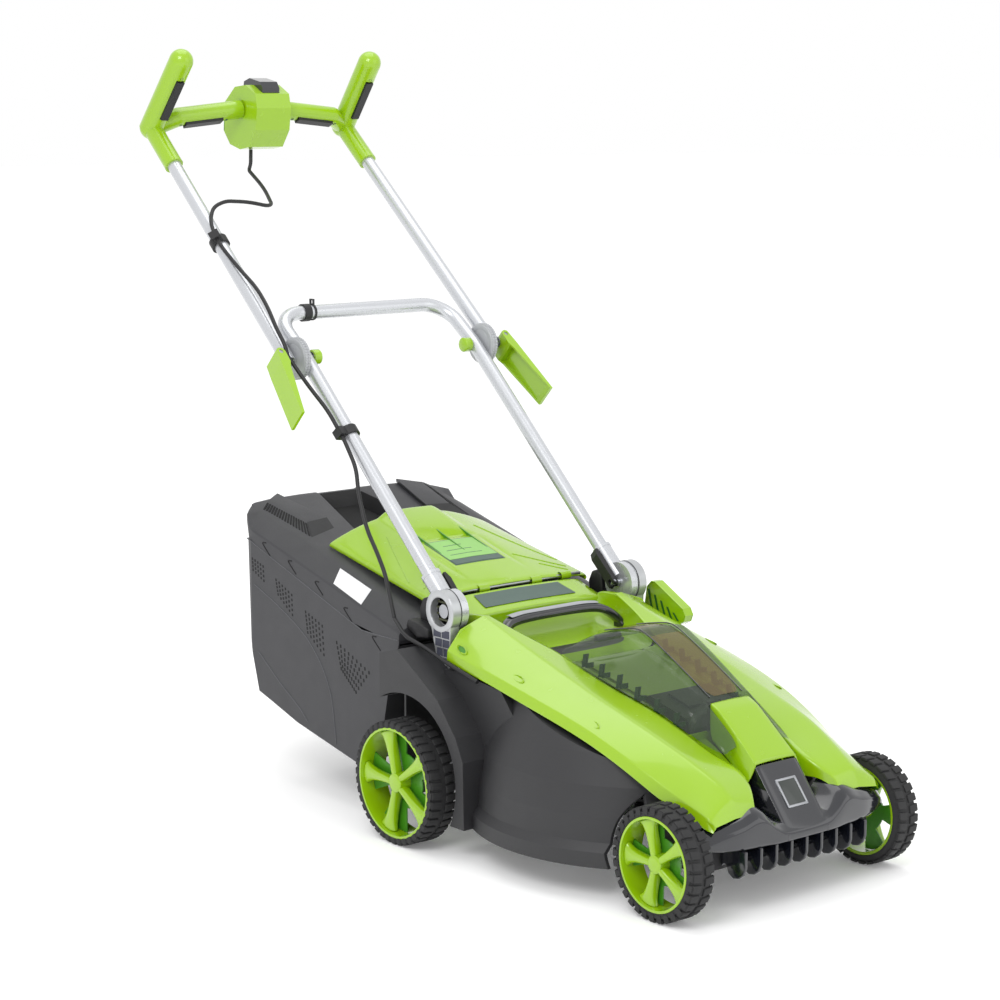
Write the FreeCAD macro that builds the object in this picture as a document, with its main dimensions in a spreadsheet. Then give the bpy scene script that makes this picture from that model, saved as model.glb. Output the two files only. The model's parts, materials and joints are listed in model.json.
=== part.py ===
"""Push lawn mower: a parametric FreeCAD document that writes one STEP file per piece.

Millimetres. +Z is up, the mower's nose points along -Y, +X is the operator's left.
Every height is above the ground. Y is measured from the rear wheels' axle while a piece is
made, and each piece's Placement then moves it by y_shift, so that the origin ends up on the
ground under the middle of the whole mower.
"""
import FreeCAD, Part
import math
import os
import re
import Sketcher
from FreeCAD import Vector

doc = FreeCAD.newDocument("PushMower")
sheet = doc.addObject("Spreadsheet::Sheet", "Sizes")

SIZES = {
    "y_shift": -101.0,
    # wheels: radius, tread width, outer face, rim radius, ground clearance to the deck's lip
    "rear_wheel_radius": 89.0,
    "rear_wheel_width": 47.0,
    "rear_face": 265.5,
    "rear_rim_radius": 79.0,
    "front_wheel_radius": 76.0,
    "front_wheel_width": 39.5,
    "front_face": 212.0,
    "front_rim_radius": 62.6,
    "wheelbase": 474.0,
    "stub_radius": 6.0,
    "running_gap": 0.05,
    "rim_wall": 3.0,
    "spoke_count": 5.0,
    # cutting height cranks
    "crank": 37.0,
    "crank_arm": 26.0,
    "axle_radius": 5.0,
    "arm_thick": 6.0,
    "rear_arm_face": 212.0,
    "front_arm_face": 164.0,
    "rod_plane": 144.0,
    "pin_radius": 3.0,
    # deck
    "lip_height": 45.0,
    "bulge_y": -235.0,
    "bulge_radius": 248.0,
    "deck_wall": 4.0,
    "chamber_top": 150.0,
    "chamber_front": -428.0,
    "arch_face": 240.0,
    "arch_radius": 115.0,
    "arch_y": 5.0,
    "arch_z": 98.0,
    "deck_rear": 62.0,
    "hood_wall": 3.0,
    # drive
    "motor_radius": 48.0,
    "motor_height": 62.0,
    "shaft_radius": 6.0,
    "blade_length": 370.0,
    "blade_width": 44.0,
    "blade_thick": 3.0,
    "blade_z": 60.0,
    # handle
    "bracket_x": 168.0,
    "bracket_y": -5.0,
    "bracket_z": 324.0,
    "ring_radius": 31.0,
    "disc_x": 163.0,
    "disc_y": 344.0,
    "disc_z": 653.0,
    "disc_radius": 31.0,
    "tube_radius": 11.0,
    "tube_wall": 1.5,
    "bar_y": 424.0,
    "bar_z": 712.0,
    "bar_bend": 46.0,
    "upper_x": 196.0,
    "grip_x": 187.0,
    "corner_y": 722.0,
    "corner_z": 988.0,
    "clamp_bolt_radius": 4.0,
    # rear flap and grass box
    "flap_y": 64.0,
    "flap_z": 330.0,
    "flap_half": 150.0,
    "box_half": 205.0,
    "box_wall": 2.5,
    "cable_radius": 3.0,
}
for row, (alias, value) in enumerate(SIZES.items(), start=1):
    sheet.set("A%d" % row, alias)
    sheet.set("B%d" % row, "%g" % value)
    sheet.setAlias("B%d" % row, alias)
doc.recompute()

SIDES = {"left": 1, "right": -1}
CELLS = {alias: "Sizes." + alias for alias in SIZES}
PARTS = {}


# ---------------------------------------------------------------- expressions and sketches
def expr(text):
    """The text with each size's name turned into its cell."""
    return re.sub(r"[a-z_]+", lambda m: CELLS.get(m.group(), m.group()), str(text))


def size(text):
    """A number worked out from the sheet."""
    return float(sheet.evalExpression(expr(text)))


def bind(obj, **properties):
    """Bind properties such as Length or Placement__Base__x to expressions."""
    for name, text in properties.items():
        obj.setExpression(name.replace("__", "."), expr(text))


def keep(name, obj, y="0", z="0"):
    """Register a finished piece, name it and move it to its place."""
    obj.Label = name
    PARTS[name] = obj
    bind(obj, Placement__Base__y="y_shift + (%s)" % y, Placement__Base__z=z)
    return obj


def new_body():
    return doc.addObject("PartDesign::Body", "Body")


def sketch(body, plane, rise="0", shift=("0", "0")):
    """An empty sketch on one of the body's own planes, raised along its normal."""
    support = next(f for f in body.Origin.OriginFeatures if f.Role == plane + "_Plane")
    made = body.newObject("Sketcher::SketchObject", "Sketch")
    made.AttachmentSupport = (support, [""])
    made.MapMode = "FlatFace"
    bind(
        made,
        AttachmentOffset__Base__x=shift[0],
        AttachmentOffset__Base__y=shift[1],
        AttachmentOffset__Base__z=rise,
    )
    return made


def pin_point(made, edge, end, point):
    """Hold one point of a sketch at two expressions."""
    for kind, axis, text in (("DistanceX", -2, point[0]), ("DistanceY", -1, point[1])):
        value = size(text)
        if abs(value) < 1e-9:
            made.addConstraint(Sketcher.Constraint("PointOnObject", edge, end, axis))
            continue
        index = made.addConstraint(Sketcher.Constraint(kind, -1, 1, edge, end, value))
        made.setExpression("Constraints[%d]" % index, expr(text))


def outline(made, points):
    """A closed chain of straight lines through points given as pairs of expressions."""
    first = made.GeometryCount
    flat = [Vector(size(u), size(v), 0) for u, v in points]
    count = len(flat)
    for i in range(count):
        made.addGeometry(Part.LineSegment(flat[i], flat[(i + 1) % count]), False)
    for i in range(count):
        after = first + (i + 1) % count
        made.addConstraint(Sketcher.Constraint("Coincident", first + i, 2, after, 1))
    for i in range(count):
        pin_point(made, first + i, 1, points[i])


def ring(made, centre, radius):
    """A circle with its centre and radius held."""
    spot = Vector(size(centre[0]), size(centre[1]), 0)
    edge = made.addGeometry(Part.Circle(spot, Vector(0, 0, 1), size(radius)), False)
    index = made.addConstraint(Sketcher.Constraint("Radius", edge, size(radius)))
    made.setExpression("Constraints[%d]" % index, expr(radius))
    pin_point(made, edge, 3, centre)


def pad(body, made, length, kind="PartDesign::Pad"):
    """Push a sketch along its normal: a Pad adds, a Pocket cuts."""
    feature = body.newObject(kind, "Feature")
    feature.Profile = made
    bind(feature, Length=length)
    feature.Reversed = kind == "PartDesign::Pocket"
    return feature


def spin(body, made, kind="PartDesign::Revolution", axis="H_Axis"):
    """Turn a sketch round one of its own axes."""
    feature = body.newObject(kind, "Feature")
    feature.Profile = made
    feature.ReferenceAxis = (made, [axis])
    feature.Angle = 360
    return feature


def plate(plane, points, rise, length, holes=()):
    """A body made of one padded outline, with round holes (centre, radius) through it."""
    body = new_body()
    made = sketch(body, plane, rise)
    outline(made, points)
    for centre, radius in holes:
        ring(made, centre, radius)
    pad(body, made, length)
    return body


def turned(profile, shift=("0", "0"), plane="XY"):
    """A body turned about X through the given point of its plane."""
    body = new_body()
    made = sketch(body, plane, shift=shift)
    outline(made, profile)
    spin(body, made)
    return body


def rod(x, y, z, length, radius):
    """A cylinder along +X, starting at x."""
    made = doc.addObject("Part::Cylinder", "Rod")
    made.Placement = FreeCAD.Placement(Vector(0, 0, 0), FreeCAD.Rotation(Vector(0, 1, 0), 90))
    bind(
        made,
        Radius=radius,
        Height=length,
        Placement__Base__x=x,
        Placement__Base__y=y,
        Placement__Base__z=z,
    )
    return made


def post(x, y, z, height, radius):
    """A cylinder along +Z, standing on z."""
    made = doc.addObject("Part::Cylinder", "Post")
    bind(
        made,
        Radius=radius,
        Height=height,
        Placement__Base__x=x,
        Placement__Base__y=y,
        Placement__Base__z=z,
    )
    return made


def block(x, y, z, length, width, height):
    """A box from its lowest corner."""
    made = doc.addObject("Part::Box", "Block")
    bind(
        made,
        Length=length,
        Width=width,
        Height=height,
        Placement__Base__x=x,
        Placement__Base__y=y,
        Placement__Base__z=z,
    )
    return made


def fuse(*pieces):
    made = doc.addObject("Part::MultiFuse", "Fuse")
    made.Shapes = list(pieces)
    return made


def cut(base, *tools):
    made = doc.addObject("Part::Cut", "Cut")
    made.Base = base
    made.Tool = tools[0] if len(tools) == 1 else fuse(*tools)
    return made


def together(*pieces):
    """Separate solids that share one node."""
    made = doc.addObject("Part::Compound", "Group")
    made.Links = list(pieces)
    return made


def shaped(shape):
    made = doc.addObject("Part::Feature", "Shaped")
    made.Shape = shape
    return made


# ---------------------------------------------------------------- free shapes in code
def polygon(points):
    return Part.makePolygon([Vector(*p) for p in points] + [Vector(*points[0])])


def loft(sections):
    """A solid with flat facets through closed sections with the same number of corners."""
    faces = [Part.Face(polygon(sections[0])), Part.Face(polygon(sections[-1]))]
    for near, far in zip(sections, sections[1:]):
        for i in range(len(near)):
            j = (i + 1) % len(near)
            faces.append(Part.Face(polygon([near[i], near[j], far[j]])))
            faces.append(Part.Face(polygon([near[i], far[j], far[i]])))
    made = Part.makeSolid(Part.makeShell(faces))
    if made.Volume < 0:
        made.reverse()
    return made


def prism(points, x_low, x_high):
    """An outline in Y and Z, pushed along X between two planes."""
    face = Part.Face(polygon([(x_low, y, z) for y, z in points]))
    return face.extrude(Vector(x_high - x_low, 0, 0))


def lathe(points, y_centre):
    """An outline in radius and height, turned about an upright axis."""
    face = Part.Face(polygon([(r, y_centre, z) for r, z in points]))
    return face.revolve(Vector(0, y_centre, 0), Vector(0, 0, 1), 360)


def route(points, radii):
    """A wire of straight runs joined by tangent arcs."""
    spots = [Vector(*p) for p in points]
    edges = []
    here = spots[0]
    for i in range(1, len(spots) - 1):
        back = (spots[i - 1] - spots[i]).normalize()
        ahead = (spots[i + 1] - spots[i]).normalize()
        half = back.getAngle(ahead) / 2
        reach = radii[i - 1] / math.tan(half)
        start = spots[i] + back * reach
        end = spots[i] + ahead * reach
        middle = (back + ahead).normalize()
        centre = spots[i] + middle * (radii[i - 1] / math.sin(half))
        top = centre - middle * radii[i - 1]
        edges.append(Part.LineSegment(here, start).toShape())
        edges.append(Part.Arc(start, top, end).toShape())
        here = end
    edges.append(Part.LineSegment(here, spots[-1]).toShape())
    return Part.Wire(edges)


def pipe(points, radii, outer, inner=0.0):
    """A round tube along a route, hollow when inner is not zero."""
    path = route(points, radii)
    along = (Vector(*points[1]) - Vector(*points[0])).normalize()
    skin = []
    for radius in (outer, inner):
        if radius > 0:
            circle = Part.Wire(Part.makeCircle(radius, Vector(*points[0]), along))
            skin.append(path.makePipeShell([circle], True, False))
    return skin[0].cut(skin[1]) if len(skin) == 2 else skin[0]


def soft_radii(points, share=0.45):
    """Arc radii as large as the runs beside each corner allow."""
    radii = []
    spots = [Vector(*p) for p in points]
    for before, corner, after in zip(spots, spots[1:], spots[2:]):
        turn = (corner - before).getAngle(after - corner)
        run = min((corner - before).Length, (after - corner).Length)
        radii.append(share * run / math.tan(turn / 2))
    return radii


def along(start, end, distance):
    """The point a distance along the line from start towards end."""
    a = Vector(*start)
    b = Vector(*end)
    return tuple(a + (b - a).normalize() * distance)


def bar(start, end, radius):
    """A round bar between two points."""
    a = Vector(*start)
    b = Vector(*end)
    return Part.makeCylinder(radius, (b - a).Length, a, b - a)


def mirrored(points):
    return [(-x, y, z) for x, y, z in points]


# ---------------------------------------------------------------- wheels
def make_tyre(name, end, side):
    """Tyre with a rounded shoulder, turned about the wheel's own axle."""
    face = "%d*(%s_face)" % (side, end)
    inner = "%d*(%s_face - %s_wheel_width)" % (side, end, end)
    edge = "%d*4" % side
    outer = "%s_wheel_radius" % end
    bore = "%s_rim_radius + 0.02" % end
    profile = [
        (face, bore),
        (face, outer + " - 5"),
        ("%s - %s" % (face, edge), outer),
        ("%s + %s" % (inner, edge), outer),
        (inner, outer + " - 5"),
        (inner, bore),
    ]
    keep(name, turned(profile), y=wheel_y(end), z="%s_wheel_radius" % end)


def wheel_y(end):
    return "0" if end == "rear" else "-wheelbase"


def make_rim(name, end, side, hub_start):
    """Rim with a blind hub, five dished spokes and a barrel."""
    body = new_body()
    hub_end = "%d*(%s_face - 4)" % (side, end)
    bore_end = "%d*(%s_face - 8)" % (side, end)
    hub = sketch(body, "XY")
    start = "%d*(%s)" % (side, hub_start)
    outline(
        hub,
        [
            (start, "stub_radius + running_gap"),
            (start, "14"),
            (hub_end, "12"),
            (hub_end, "0"),
            (bore_end, "0"),
            (bore_end, "stub_radius + running_gap"),
        ],
    )
    spin(body, hub)
    low = "%s_face - 24" % end if side > 0 else "-(%s_face - 7)" % end
    spoke = sketch(body, "YZ", rise=low)
    tip = "%s_rim_radius - 1.5" % end
    outline(spoke, [("-9", tip), ("-6", "8"), ("6", "8"), ("9", tip)])
    arm = pad(body, spoke, "17")
    doc.recompute()
    pattern = body.newObject("PartDesign::PolarPattern", "Spokes")
    pattern.Originals = [arm]
    pattern.Axis = (spoke, ["N_Axis"])
    pattern.Angle = 360
    bind(pattern, Occurrences="spoke_count")
    body.Tip = pattern
    barrel = sketch(body, "XY")
    outer = "%s_rim_radius" % end
    inside = "%d*(%s_face - %s_wheel_width + 1)" % (side, end, end)
    face = "%d*(%s_face - 0.5)" % (side, end)
    outline(
        barrel,
        [
            (inside, outer),
            (inside, outer + " - rim_wall"),
            (face, outer + " - rim_wall"),
            (face, outer),
        ],
    )
    spin(body, barrel)
    keep(name, body, y=wheel_y(end), z="%s_wheel_radius" % end)


def make_wheels():
    for word, side in SIDES.items():
        make_tyre("rear_%s_tyre" % word, "rear", side)
        make_rim("rear_%s_rim" % word, "rear", side, "rear_arm_face - 4.2")
        make_tyre("front_%s_tyre" % word, "front", side)
        make_rim("front_%s_rim" % word, "front", side, "front_arm_face + 2.6")


def make_axle(end, pivot_y, arm_face, through):
    """Cranked axle: cross rod, two crank arms, two stubs and the arm for the link rod."""
    centre = "%s_wheel_radius" % end
    wheel = wheel_y(end)
    arm_in = "%s - arm_thick" % arm_face
    pieces = [rod("-(%s)" % arm_in, pivot_y, centre, "2*(%s) + %s" % (arm_in, through), "axle_radius")]
    for side in SIDES.values():
        start = "%d*(%s) - %d*arm_thick" % (side, arm_face, 1 if side > 0 else 0)
        if side < 0:
            start = "-(%s)" % arm_face
        pieces.append(rod(start, pivot_y, centre, "arm_thick", "10"))
        pieces.append(rod(start, wheel, centre, "arm_thick", "10"))
        pieces.append(block(start, wheel, "%s - 8" % centre, "arm_thick", "crank", "16"))
        stub = "%s_face - 9 - (%s)" % (end, arm_face)
        stub_start = arm_face if side > 0 else "-(%s_face - 9)" % end
        pieces.append(rod(stub_start, wheel, centre, stub, "stub_radius"))
    plane = "rod_plane + 4.5"
    top = "%s + crank_arm" % centre
    pieces.append(rod(plane, pivot_y, centre, "arm_thick", "9"))
    pieces.append(rod(plane, pivot_y, top, "arm_thick", "6"))
    pieces.append(block(plane, "%s - 6" % pivot_y, centre, "arm_thick", "12", "crank_arm"))
    pieces.append(rod("rod_plane - 3.5", pivot_y, top, "9", "pin_radius"))
    keep("%s_axle" % end, fuse(*pieces))


def make_washers(end, arm_face):
    """Washers on the stubs between the crank arm and the hub."""
    rings = []
    for side in SIDES.values():
        start = "%s + 0.2" % arm_face if side > 0 else "-(%s + 2.2)" % arm_face
        centre = "%s_wheel_radius" % end
        bore = rod(start, wheel_y(end), centre, "2", "stub_radius + 0.02")
        rings.append(cut(rod(start, wheel_y(end), centre, "2", "9.5"), bore))
    keep("%s_axle_washers" % end, together(*rings))


def make_running_gear():
    make_wheels()
    make_axle("rear", "crank", "rear_arm_face - 7", "8")
    make_axle("front", "crank - wheelbase", "front_arm_face", "0")
    make_washers("rear", "rear_arm_face - 7")
    make_washers("front", "front_arm_face")
    rear_z = "rear_wheel_radius + crank_arm"
    front_z = "front_wheel_radius + crank_arm"
    strip = plate(
        "YZ",
        [
            ("crank - 4", rear_z + " - 4"),
            ("crank - 4", rear_z + " + 4"),
            ("crank - wheelbase + 4", front_z + " + 4"),
            ("crank - wheelbase + 4", front_z + " - 4"),
        ],
        "rod_plane - 3",
        "6",
    )
    eyes = []
    holes = []
    for y, z in (("crank", rear_z), ("crank - wheelbase", front_z)):
        eyes.append(rod("rod_plane - 3", y, z, "6", "6"))
        holes.append(rod("rod_plane - 4", y, z, "8", "pin_radius + running_gap"))
    keep("height_rod", cut(fuse(strip, *eyes), *holes))


def make_height_lever():
    """Lever arm on the rear axle's end, with the slotted hand paddle."""
    arm = plate(
        "YZ",
        [
            ("crank - 9", "rear_wheel_radius - 6"),
            ("crank + 8", "rear_wheel_radius - 4"),
            ("-14", "286"),
            ("-30", "280"),
        ],
        "rear_arm_face - 4.8",
        "5.6",
    )
    boss = rod("rear_arm_face - 4.8", "crank", "rear_wheel_radius", "5.6", "12")
    bore = rod("rear_arm_face - 5", "crank", "rear_wheel_radius", "7", "axle_radius + 0.02")
    paddle = plate(
        "YZ",
        [
            ("-22", "322"),
            ("-30", "322"),
            ("-90", "290"),
            ("-96", "280"),
            ("-92", "270"),
            ("-80", "264"),
            ("-24", "262"),
            ("-8", "286"),
            ("-12", "312"),
        ],
        "rear_arm_face - 4.8",
        "15",
    )
    slots = []
    for step in range(4):
        made = block(
            "rear_arm_face", str(-74 + 13 * step), "270", "14", "5", str(16 + 7 * step)
        )
        slots.append(made)
    keep("height_lever", cut(fuse(arm, boss, paddle), bore, *slots))


# ---------------------------------------------------------------- deck
def sloped_top(drop):
    """Wedge above the sloping plane that the hood rests over, lowered by drop."""
    return prism(
        [(-60, 268 - drop), (-154, 243 - drop), (-440, 160 - drop), (-440, 400), (-60, 400)], -400, 400
    )


ARCH = [(62, 262), (21, 274), (-70, 218), (-110, 172), (-126, 140), (-128, 45), (62, 45)]
SHOULDER = [(-30, 150), (-30, 248), (-60, 250), (-154, 240), (-185, 205), (-185, 150)]


def deck_mass(wall, bottom):
    """The deck's outer form, or with wall above zero the form its inside is cut to."""
    lip = size("bulge_radius") - wall
    flare = [
        (0, bottom),
        (lip, bottom),
        (lip, 66 - wall / 2),
        (lip - 9, 77 - wall / 2),
        (lip - 12, 110),
        (lip - 20, 150),
        (lip - 35, 190),
        (lip - 52, 226),
        (lip - 64, 262),
        (0, 262),
    ]
    y_centre = size("bulge_y")
    bulge = lathe(flare, y_centre).cut(sloped_top(wall))
    cut_y = size("chamber_front") - 3 + wall
    ahead = Part.makeBox(600, 200, 400, Vector(-300, cut_y - 200, 0))
    bulge = bulge.cut(ahead)
    arch_x = size("arch_face") - wall
    middle = size("deck_rear") - wall
    arch = [(min(y, middle) if y > 0 else y + wall * 0.9, z - wall * (z > 50)) for y, z in ARCH]
    arch = [(y, z if z > 50 else bottom) for y, z in arch]
    rear = prism(arch, -arch_x, arch_x)
    shoulder = prism([(y, z - wall) for y, z in SHOULDER], -196 + wall, 196 - wall)
    return bulge.fuse(rear).fuse(shoulder)


def make_deck():
    lip = size("lip_height")
    wall = size("deck_wall")
    bulge_y = size("bulge_y")
    wheel_room = size("arch_radius")
    deck = deck_mass(0, lip).cut(deck_mass(wall, lip - 5))
    # ceiling over the blade, and the flat wall ahead of it
    ceiling = Part.makeCylinder(216, wall, Vector(0, bulge_y, size("chamber_top")))
    ceiling = ceiling.cut(Part.makeBox(600, 200, 400, Vector(-300, size("chamber_front") - 200, 0)))
    front_y = size("chamber_front") - 3
    wall_front = Part.makeBox(400, 3.2, 72, Vector(-200, front_y, lip))
    wall_front = wall_front.common(Part.makeCylinder(246, 300, Vector(0, bulge_y, 0)))
    # hollow nose ahead of the chamber, open downwards
    nose = Part.makeBox(312, 77, 58, Vector(-156, front_y - 74, 60))
    nose = nose.cut(Part.makeBox(305, 70.5, 55, Vector(-152.5, front_y - 70.5, 58)))
    deck = deck.fuse([ceiling, wall_front, nose])
    # chute from the chamber up to the grass box
    tunnel = [(-100, 156), (-60, 236), (62, 252), (62, 122), (-10, 96), (-66, 96)]
    shell = [(-92, 150), (-60, 240), (61, 256), (61, 118), (-10, 92), (-40, 92)]
    chute = prism(shell, -114, 114)
    deck = deck.fuse(chute).cut(prism(tunnel, -110, 110))
    # holes: motor opening, hood interior, wheel openings, axle and rod slots, lever slot
    deck = deck.cut(Part.makeCylinder(size("shaft_radius") + 6, 20, Vector(0, bulge_y, 145)))
    inside = prism([(-110, 156), (-110, 300), (-440, 300), (-440, 156)], -150, 150)
    tunnel_keep = prism(shell, -114, 114)
    deck = deck.cut(inside.cut(tunnel_keep).cut(nose))
    centre = Vector(-300, size("arch_y"), size("arch_z"))
    outer_wheels = Part.makeCylinder(wheel_room, 600, centre, Vector(1, 0, 0))
    keep_middle = Part.makeBox(392, 400, 500, Vector(-196, -200, 0))
    deck = deck.cut(outer_wheels.cut(keep_middle))
    relief_centre = Vector(-300, -size("wheelbase"), size("front_wheel_radius"))
    relief = Part.makeCylinder(99, 600, relief_centre, Vector(1, 0, 0))
    deck = deck.cut(relief.cut(Part.makeBox(314, 400, 400, Vector(-157, -650, 0))))
    crank = size("crank")
    rear_slot = Part.makeBox(500, 22, 60, Vector(-250, crank - 11, 40))
    deck = deck.cut(rear_slot)
    rod_x = size("rod_plane")
    deck = deck.cut(Part.makeBox(22, 110, 46, Vector(rod_x - 7, -120, 88)))
    pivot = Vector(-170, crank - size("wheelbase"), size("front_wheel_radius"))
    deck = deck.cut(Part.makeBox(23, 40, 66, Vector(rod_x - 7, pivot.y - 20, 58)))
    deck = deck.cut(Part.makeBox(14, 50, 36, Vector(rod_x - 7, pivot.y + 10, 88)))
    deck = deck.cut(Part.makeCylinder(size("axle_radius") + 1, 340, pivot, Vector(1, 0, 0)))
    lever_x = size("rear_arm_face") - 7
    deck = deck.cut(Part.makeBox(18, 220, 240, Vector(lever_x, -148, 60)))
    for x, y, z in SCREWS:
        for side in SIDES.values():
            deck = deck.cut(Part.makeCylinder(2.05, 60, Vector(side * x, y, z - 50)))
    keep("deck_shell", shaped(deck.removeSplitter()))


# ---------------------------------------------------------------- hood, bumper, carry handle
# half sections of the hood: y, then (x, z) from the side edge up over the ridge to the middle
HOOD = [
    (-36, [(196, 262), (190, 282), (150, 308), (128, 317), (98, 317)]),
    (-126, [(199, 249), (193, 268), (152, 283), (130, 290), (98, 290)]),
    (-191, [(199, 234), (193, 252), (152, 264), (130, 271), (92, 270)]),
    (-282, [(194, 213), (188, 229), (150, 239), (130, 244), (86, 241)]),
    (-350, [(184, 190), (179, 205), (150, 216), (129, 223), (78, 216)]),
    (-416, [(172, 161), (168, 177), (148, 195), (126, 203), (70, 196)]),
    (-485, [(162, 128), (159, 140), (142, 158), (118, 166), (62, 164)]),
    (-522, [(158, 119), (155, 126), (138, 132), (110, 136), (56, 138)]),
]


def hood_form(wall):
    sections = []
    for y, half in HOOD:
        side = [(max(x - wall, 1), z - (wall if i else 40 * (wall > 0))) for i, (x, z) in enumerate(half)]
        loop = [(x, y, z) for x, z in side] + [(-x, y, z) for x, z in reversed(side)]
        sections.append(loop)
    if wall > 0:
        sections[0] = [(x, y - wall, z) for x, y, z in sections[0]]
        sections[-1] = [(x, y - 6, z) for x, y, z in sections[-1]]
    return loft(sections)


def nose_form(wall):
    """Raised centre panel between the lid's prongs, running down to the bumper block."""
    steps = [
        (-398, 37, 180, 35, 243),
        (-416, 37, 176, 35, 236),
        (-448, 40, 160, 36, 210),
        (-484, 58, 132, 39, 180),
    ]
    sections = []
    for y, low_x, low_z, top_x, top_z in steps:
        low = (low_x - wall, low_z - 12 * wall)
        top = (top_x - wall, top_z - wall)
        sections.append(
            [(low[0], y, low[1]), (top[0], y, top[1]), (-top[0], y, top[1]), (-low[0], y, low[1])]
        )
    return loft(sections)


def rear_form(wall):
    """Narrow rear block that carries the stripe, up to the flap's hinge."""
    half = 135 - wall
    rise = [(-42, 276), (-42, 319), (46, 333), (57, 333), (57, 276)]
    if wall > 0:
        rise = [(-60, 262), (-60, 314), (46, 329.5), (53.5, 329.5), (53.5, 262)]
    return prism(rise, -half, half)


def recess_form(grow):
    """Trough under the carry handle; grow makes the mass its floor and walls are cut from."""
    steps = [(4, 121, 292), (-10, 121, 272), (-40, 121, 262), (-100, 108, 257), (-150, 86, 255)]
    sections = []
    for index, (y, half, floor) in enumerate(steps):
        ends = {0: grow, len(steps) - 1: -grow}
        edge = half + grow
        at = y + ends.get(index, 0)
        low = floor - grow
        sections.append([(-edge, at, low), (edge, at, low), (edge, at, 345), (-edge, at, 345)])
    return loft(sections)


def flap_ears():
    """Ears behind the rear block that carry the flap's hinge rod."""
    y = size("flap_y")
    z = size("flap_z")
    ears = []
    for x in (-134, 130, -22, 18):
        ear = prism(
            [(50, z - 16), (50, z + 2), (y, z + 4.5), (y + 4.5, z), (y + 4, z - 6), (58, z - 16)],
            x,
            x + 4,
        )
        hole = Part.makeCylinder(3.02, 8, Vector(x - 2, y, z), Vector(1, 0, 0))
        ears.append(ear.cut(hole))
    return ears


LID_HINGE = (-445, 200)
SCREWS = [(186, -52, 262), (184, -150, 240), (178, -300, 200)]


def make_hood():
    wall = size("hood_wall")
    outer = hood_form(0).fuse([nose_form(0), rear_form(0)])
    hood = outer.cut(hood_form(wall)).cut(nose_form(wall)).cut(rear_form(wall))
    floor = recess_form(wall).common(outer)
    hood = hood.fuse(floor).cut(recess_form(0))
    bay = prism([(-168, 200), (-168, 330), (-394, 330), (-394, 150)], -74, 74)
    hood = hood.cut(bay).cut(lid_form(-0.6, 40))
    for side in SIDES.values():
        prong = prism(
            [(-390, 186), (-390, 260), (-456, 260), (-456, 186)], *sorted((side * 36.9, side * 68))
        )
        hood = hood.cut(prong.cut(nose_form(0)))
    block = prism([(-484.3, 60), (-484.3, 200), (-560, 200), (-560, 60)], -41, 41)
    hood = hood.cut(block)
    # room for the flap's front edge and the lid's prongs as they swing
    hood = hood.cut(Part.makeBox(124, 4, 20, Vector(-62, 55.6, 327)))
    for side in SIDES.values():
        start = 37.3 if side > 0 else -41.3
        hood = hood.cut(Part.makeBox(4, 12, 14, Vector(start, -457, 195)))
    pins = Part.makeCylinder(2.5, 88, Vector(-44, LID_HINGE[0], LID_HINGE[1]), Vector(1, 0, 0))
    hood = hood.fuse(flap_ears() + [pins])
    for x, y, z in SCREWS:
        for side in SIDES.values():
            hood = hood.cut(Part.makeCylinder(5.5, 60, Vector(side * x, y, z - 20)))
    hood = hood.cut(deck_mass(0, size("lip_height")))
    solids = sorted(hood.Solids, key=lambda s: s.Volume)
    keep("hood_cover", shaped(solids[-1]))
    screws = []
    for x, y, z in SCREWS:
        for side in SIDES.values():
            head = Part.makeCylinder(4.5, 3, Vector(side * x, y, z + 2))
            screws.append(head.fuse(Part.makeCylinder(2, 24, Vector(side * x, y, z - 22))))
    keep("body_screws", shaped(Part.makeCompound(screws)))


def make_bumper():
    """Nose bar: a hollow bow between the front wheels, the raised block and the comb ribs."""
    bow = [(-166, -524, 94, 116.5), (-120, -540, 88, 128), (-50, -547, 86, 134)]
    bow += [(-x, y, low, top) for x, y, low, top in reversed(bow)]
    back = -506.5

    def skin(wall):
        sections = []
        for index, (x, y, low, top) in enumerate(bow):
            trim = wall if index in (0, len(bow) - 1) else 0
            x = x - math.copysign(trim, x)
            rear = back + (4 if wall else 0)
            sections.append(
                [
                    (x, y + wall, low + wall),
                    (x, y + wall + 1, top - 14 - wall),
                    (x, y + wall + 12, top - wall),
                    (x, rear, top - wall),
                    (x, rear, low + wall),
                ]
            )
        return loft(sections)

    bumper = skin(0).cut(skin(3))
    slope = [(-484.6, 177), (-546.5, 99), (-546.5, 88), (-507, 88), (-507, 120), (-484.6, 128)]
    inner = [(-487, 170), (-542, 100), (-542, 91), (-500, 91), (-500, 120), (-484, 128), (-480, 160)]
    block_mass = prism(slope, -38, 38).cut(prism(inner, -35, 35))
    above = [(-484.6, 177), (-546.5, 99), (-560, 99), (-560, 200), (-484.6, 200)]
    bumper = bumper.cut([prism(inner, -35, 35), prism(above, -38, 38)]).fuse(block_mass)
    for step in range(-4, 5):
        x = step * 28.0
        rib = prism(
            [(-543, 90), (-543, 66), (-536, 54), (-524, 51), (-514, 56), (-508, 70), (-508, 90)],
            x - 1.5,
            x + 1.5,
        )
        bumper = bumper.fuse(rib)
    keep("front_bumper", shaped(bumper.removeSplitter()))
    # plate on the block's sloping face
    run = Vector(0, -61.9, -78).normalize()
    out = Vector(0, -78, 61.9).normalize()
    start = Vector(-17, -484.6, 177) + run * 26 + out * 0.05
    face = [start, start + Vector(34, 0, 0), start + Vector(34, 0, 0) + run * 38, start + run * 38]
    badge = Part.Face(polygon([tuple(p) for p in face])).extrude(out * 1.8)
    keep("badge_plate", shaped(badge))


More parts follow.
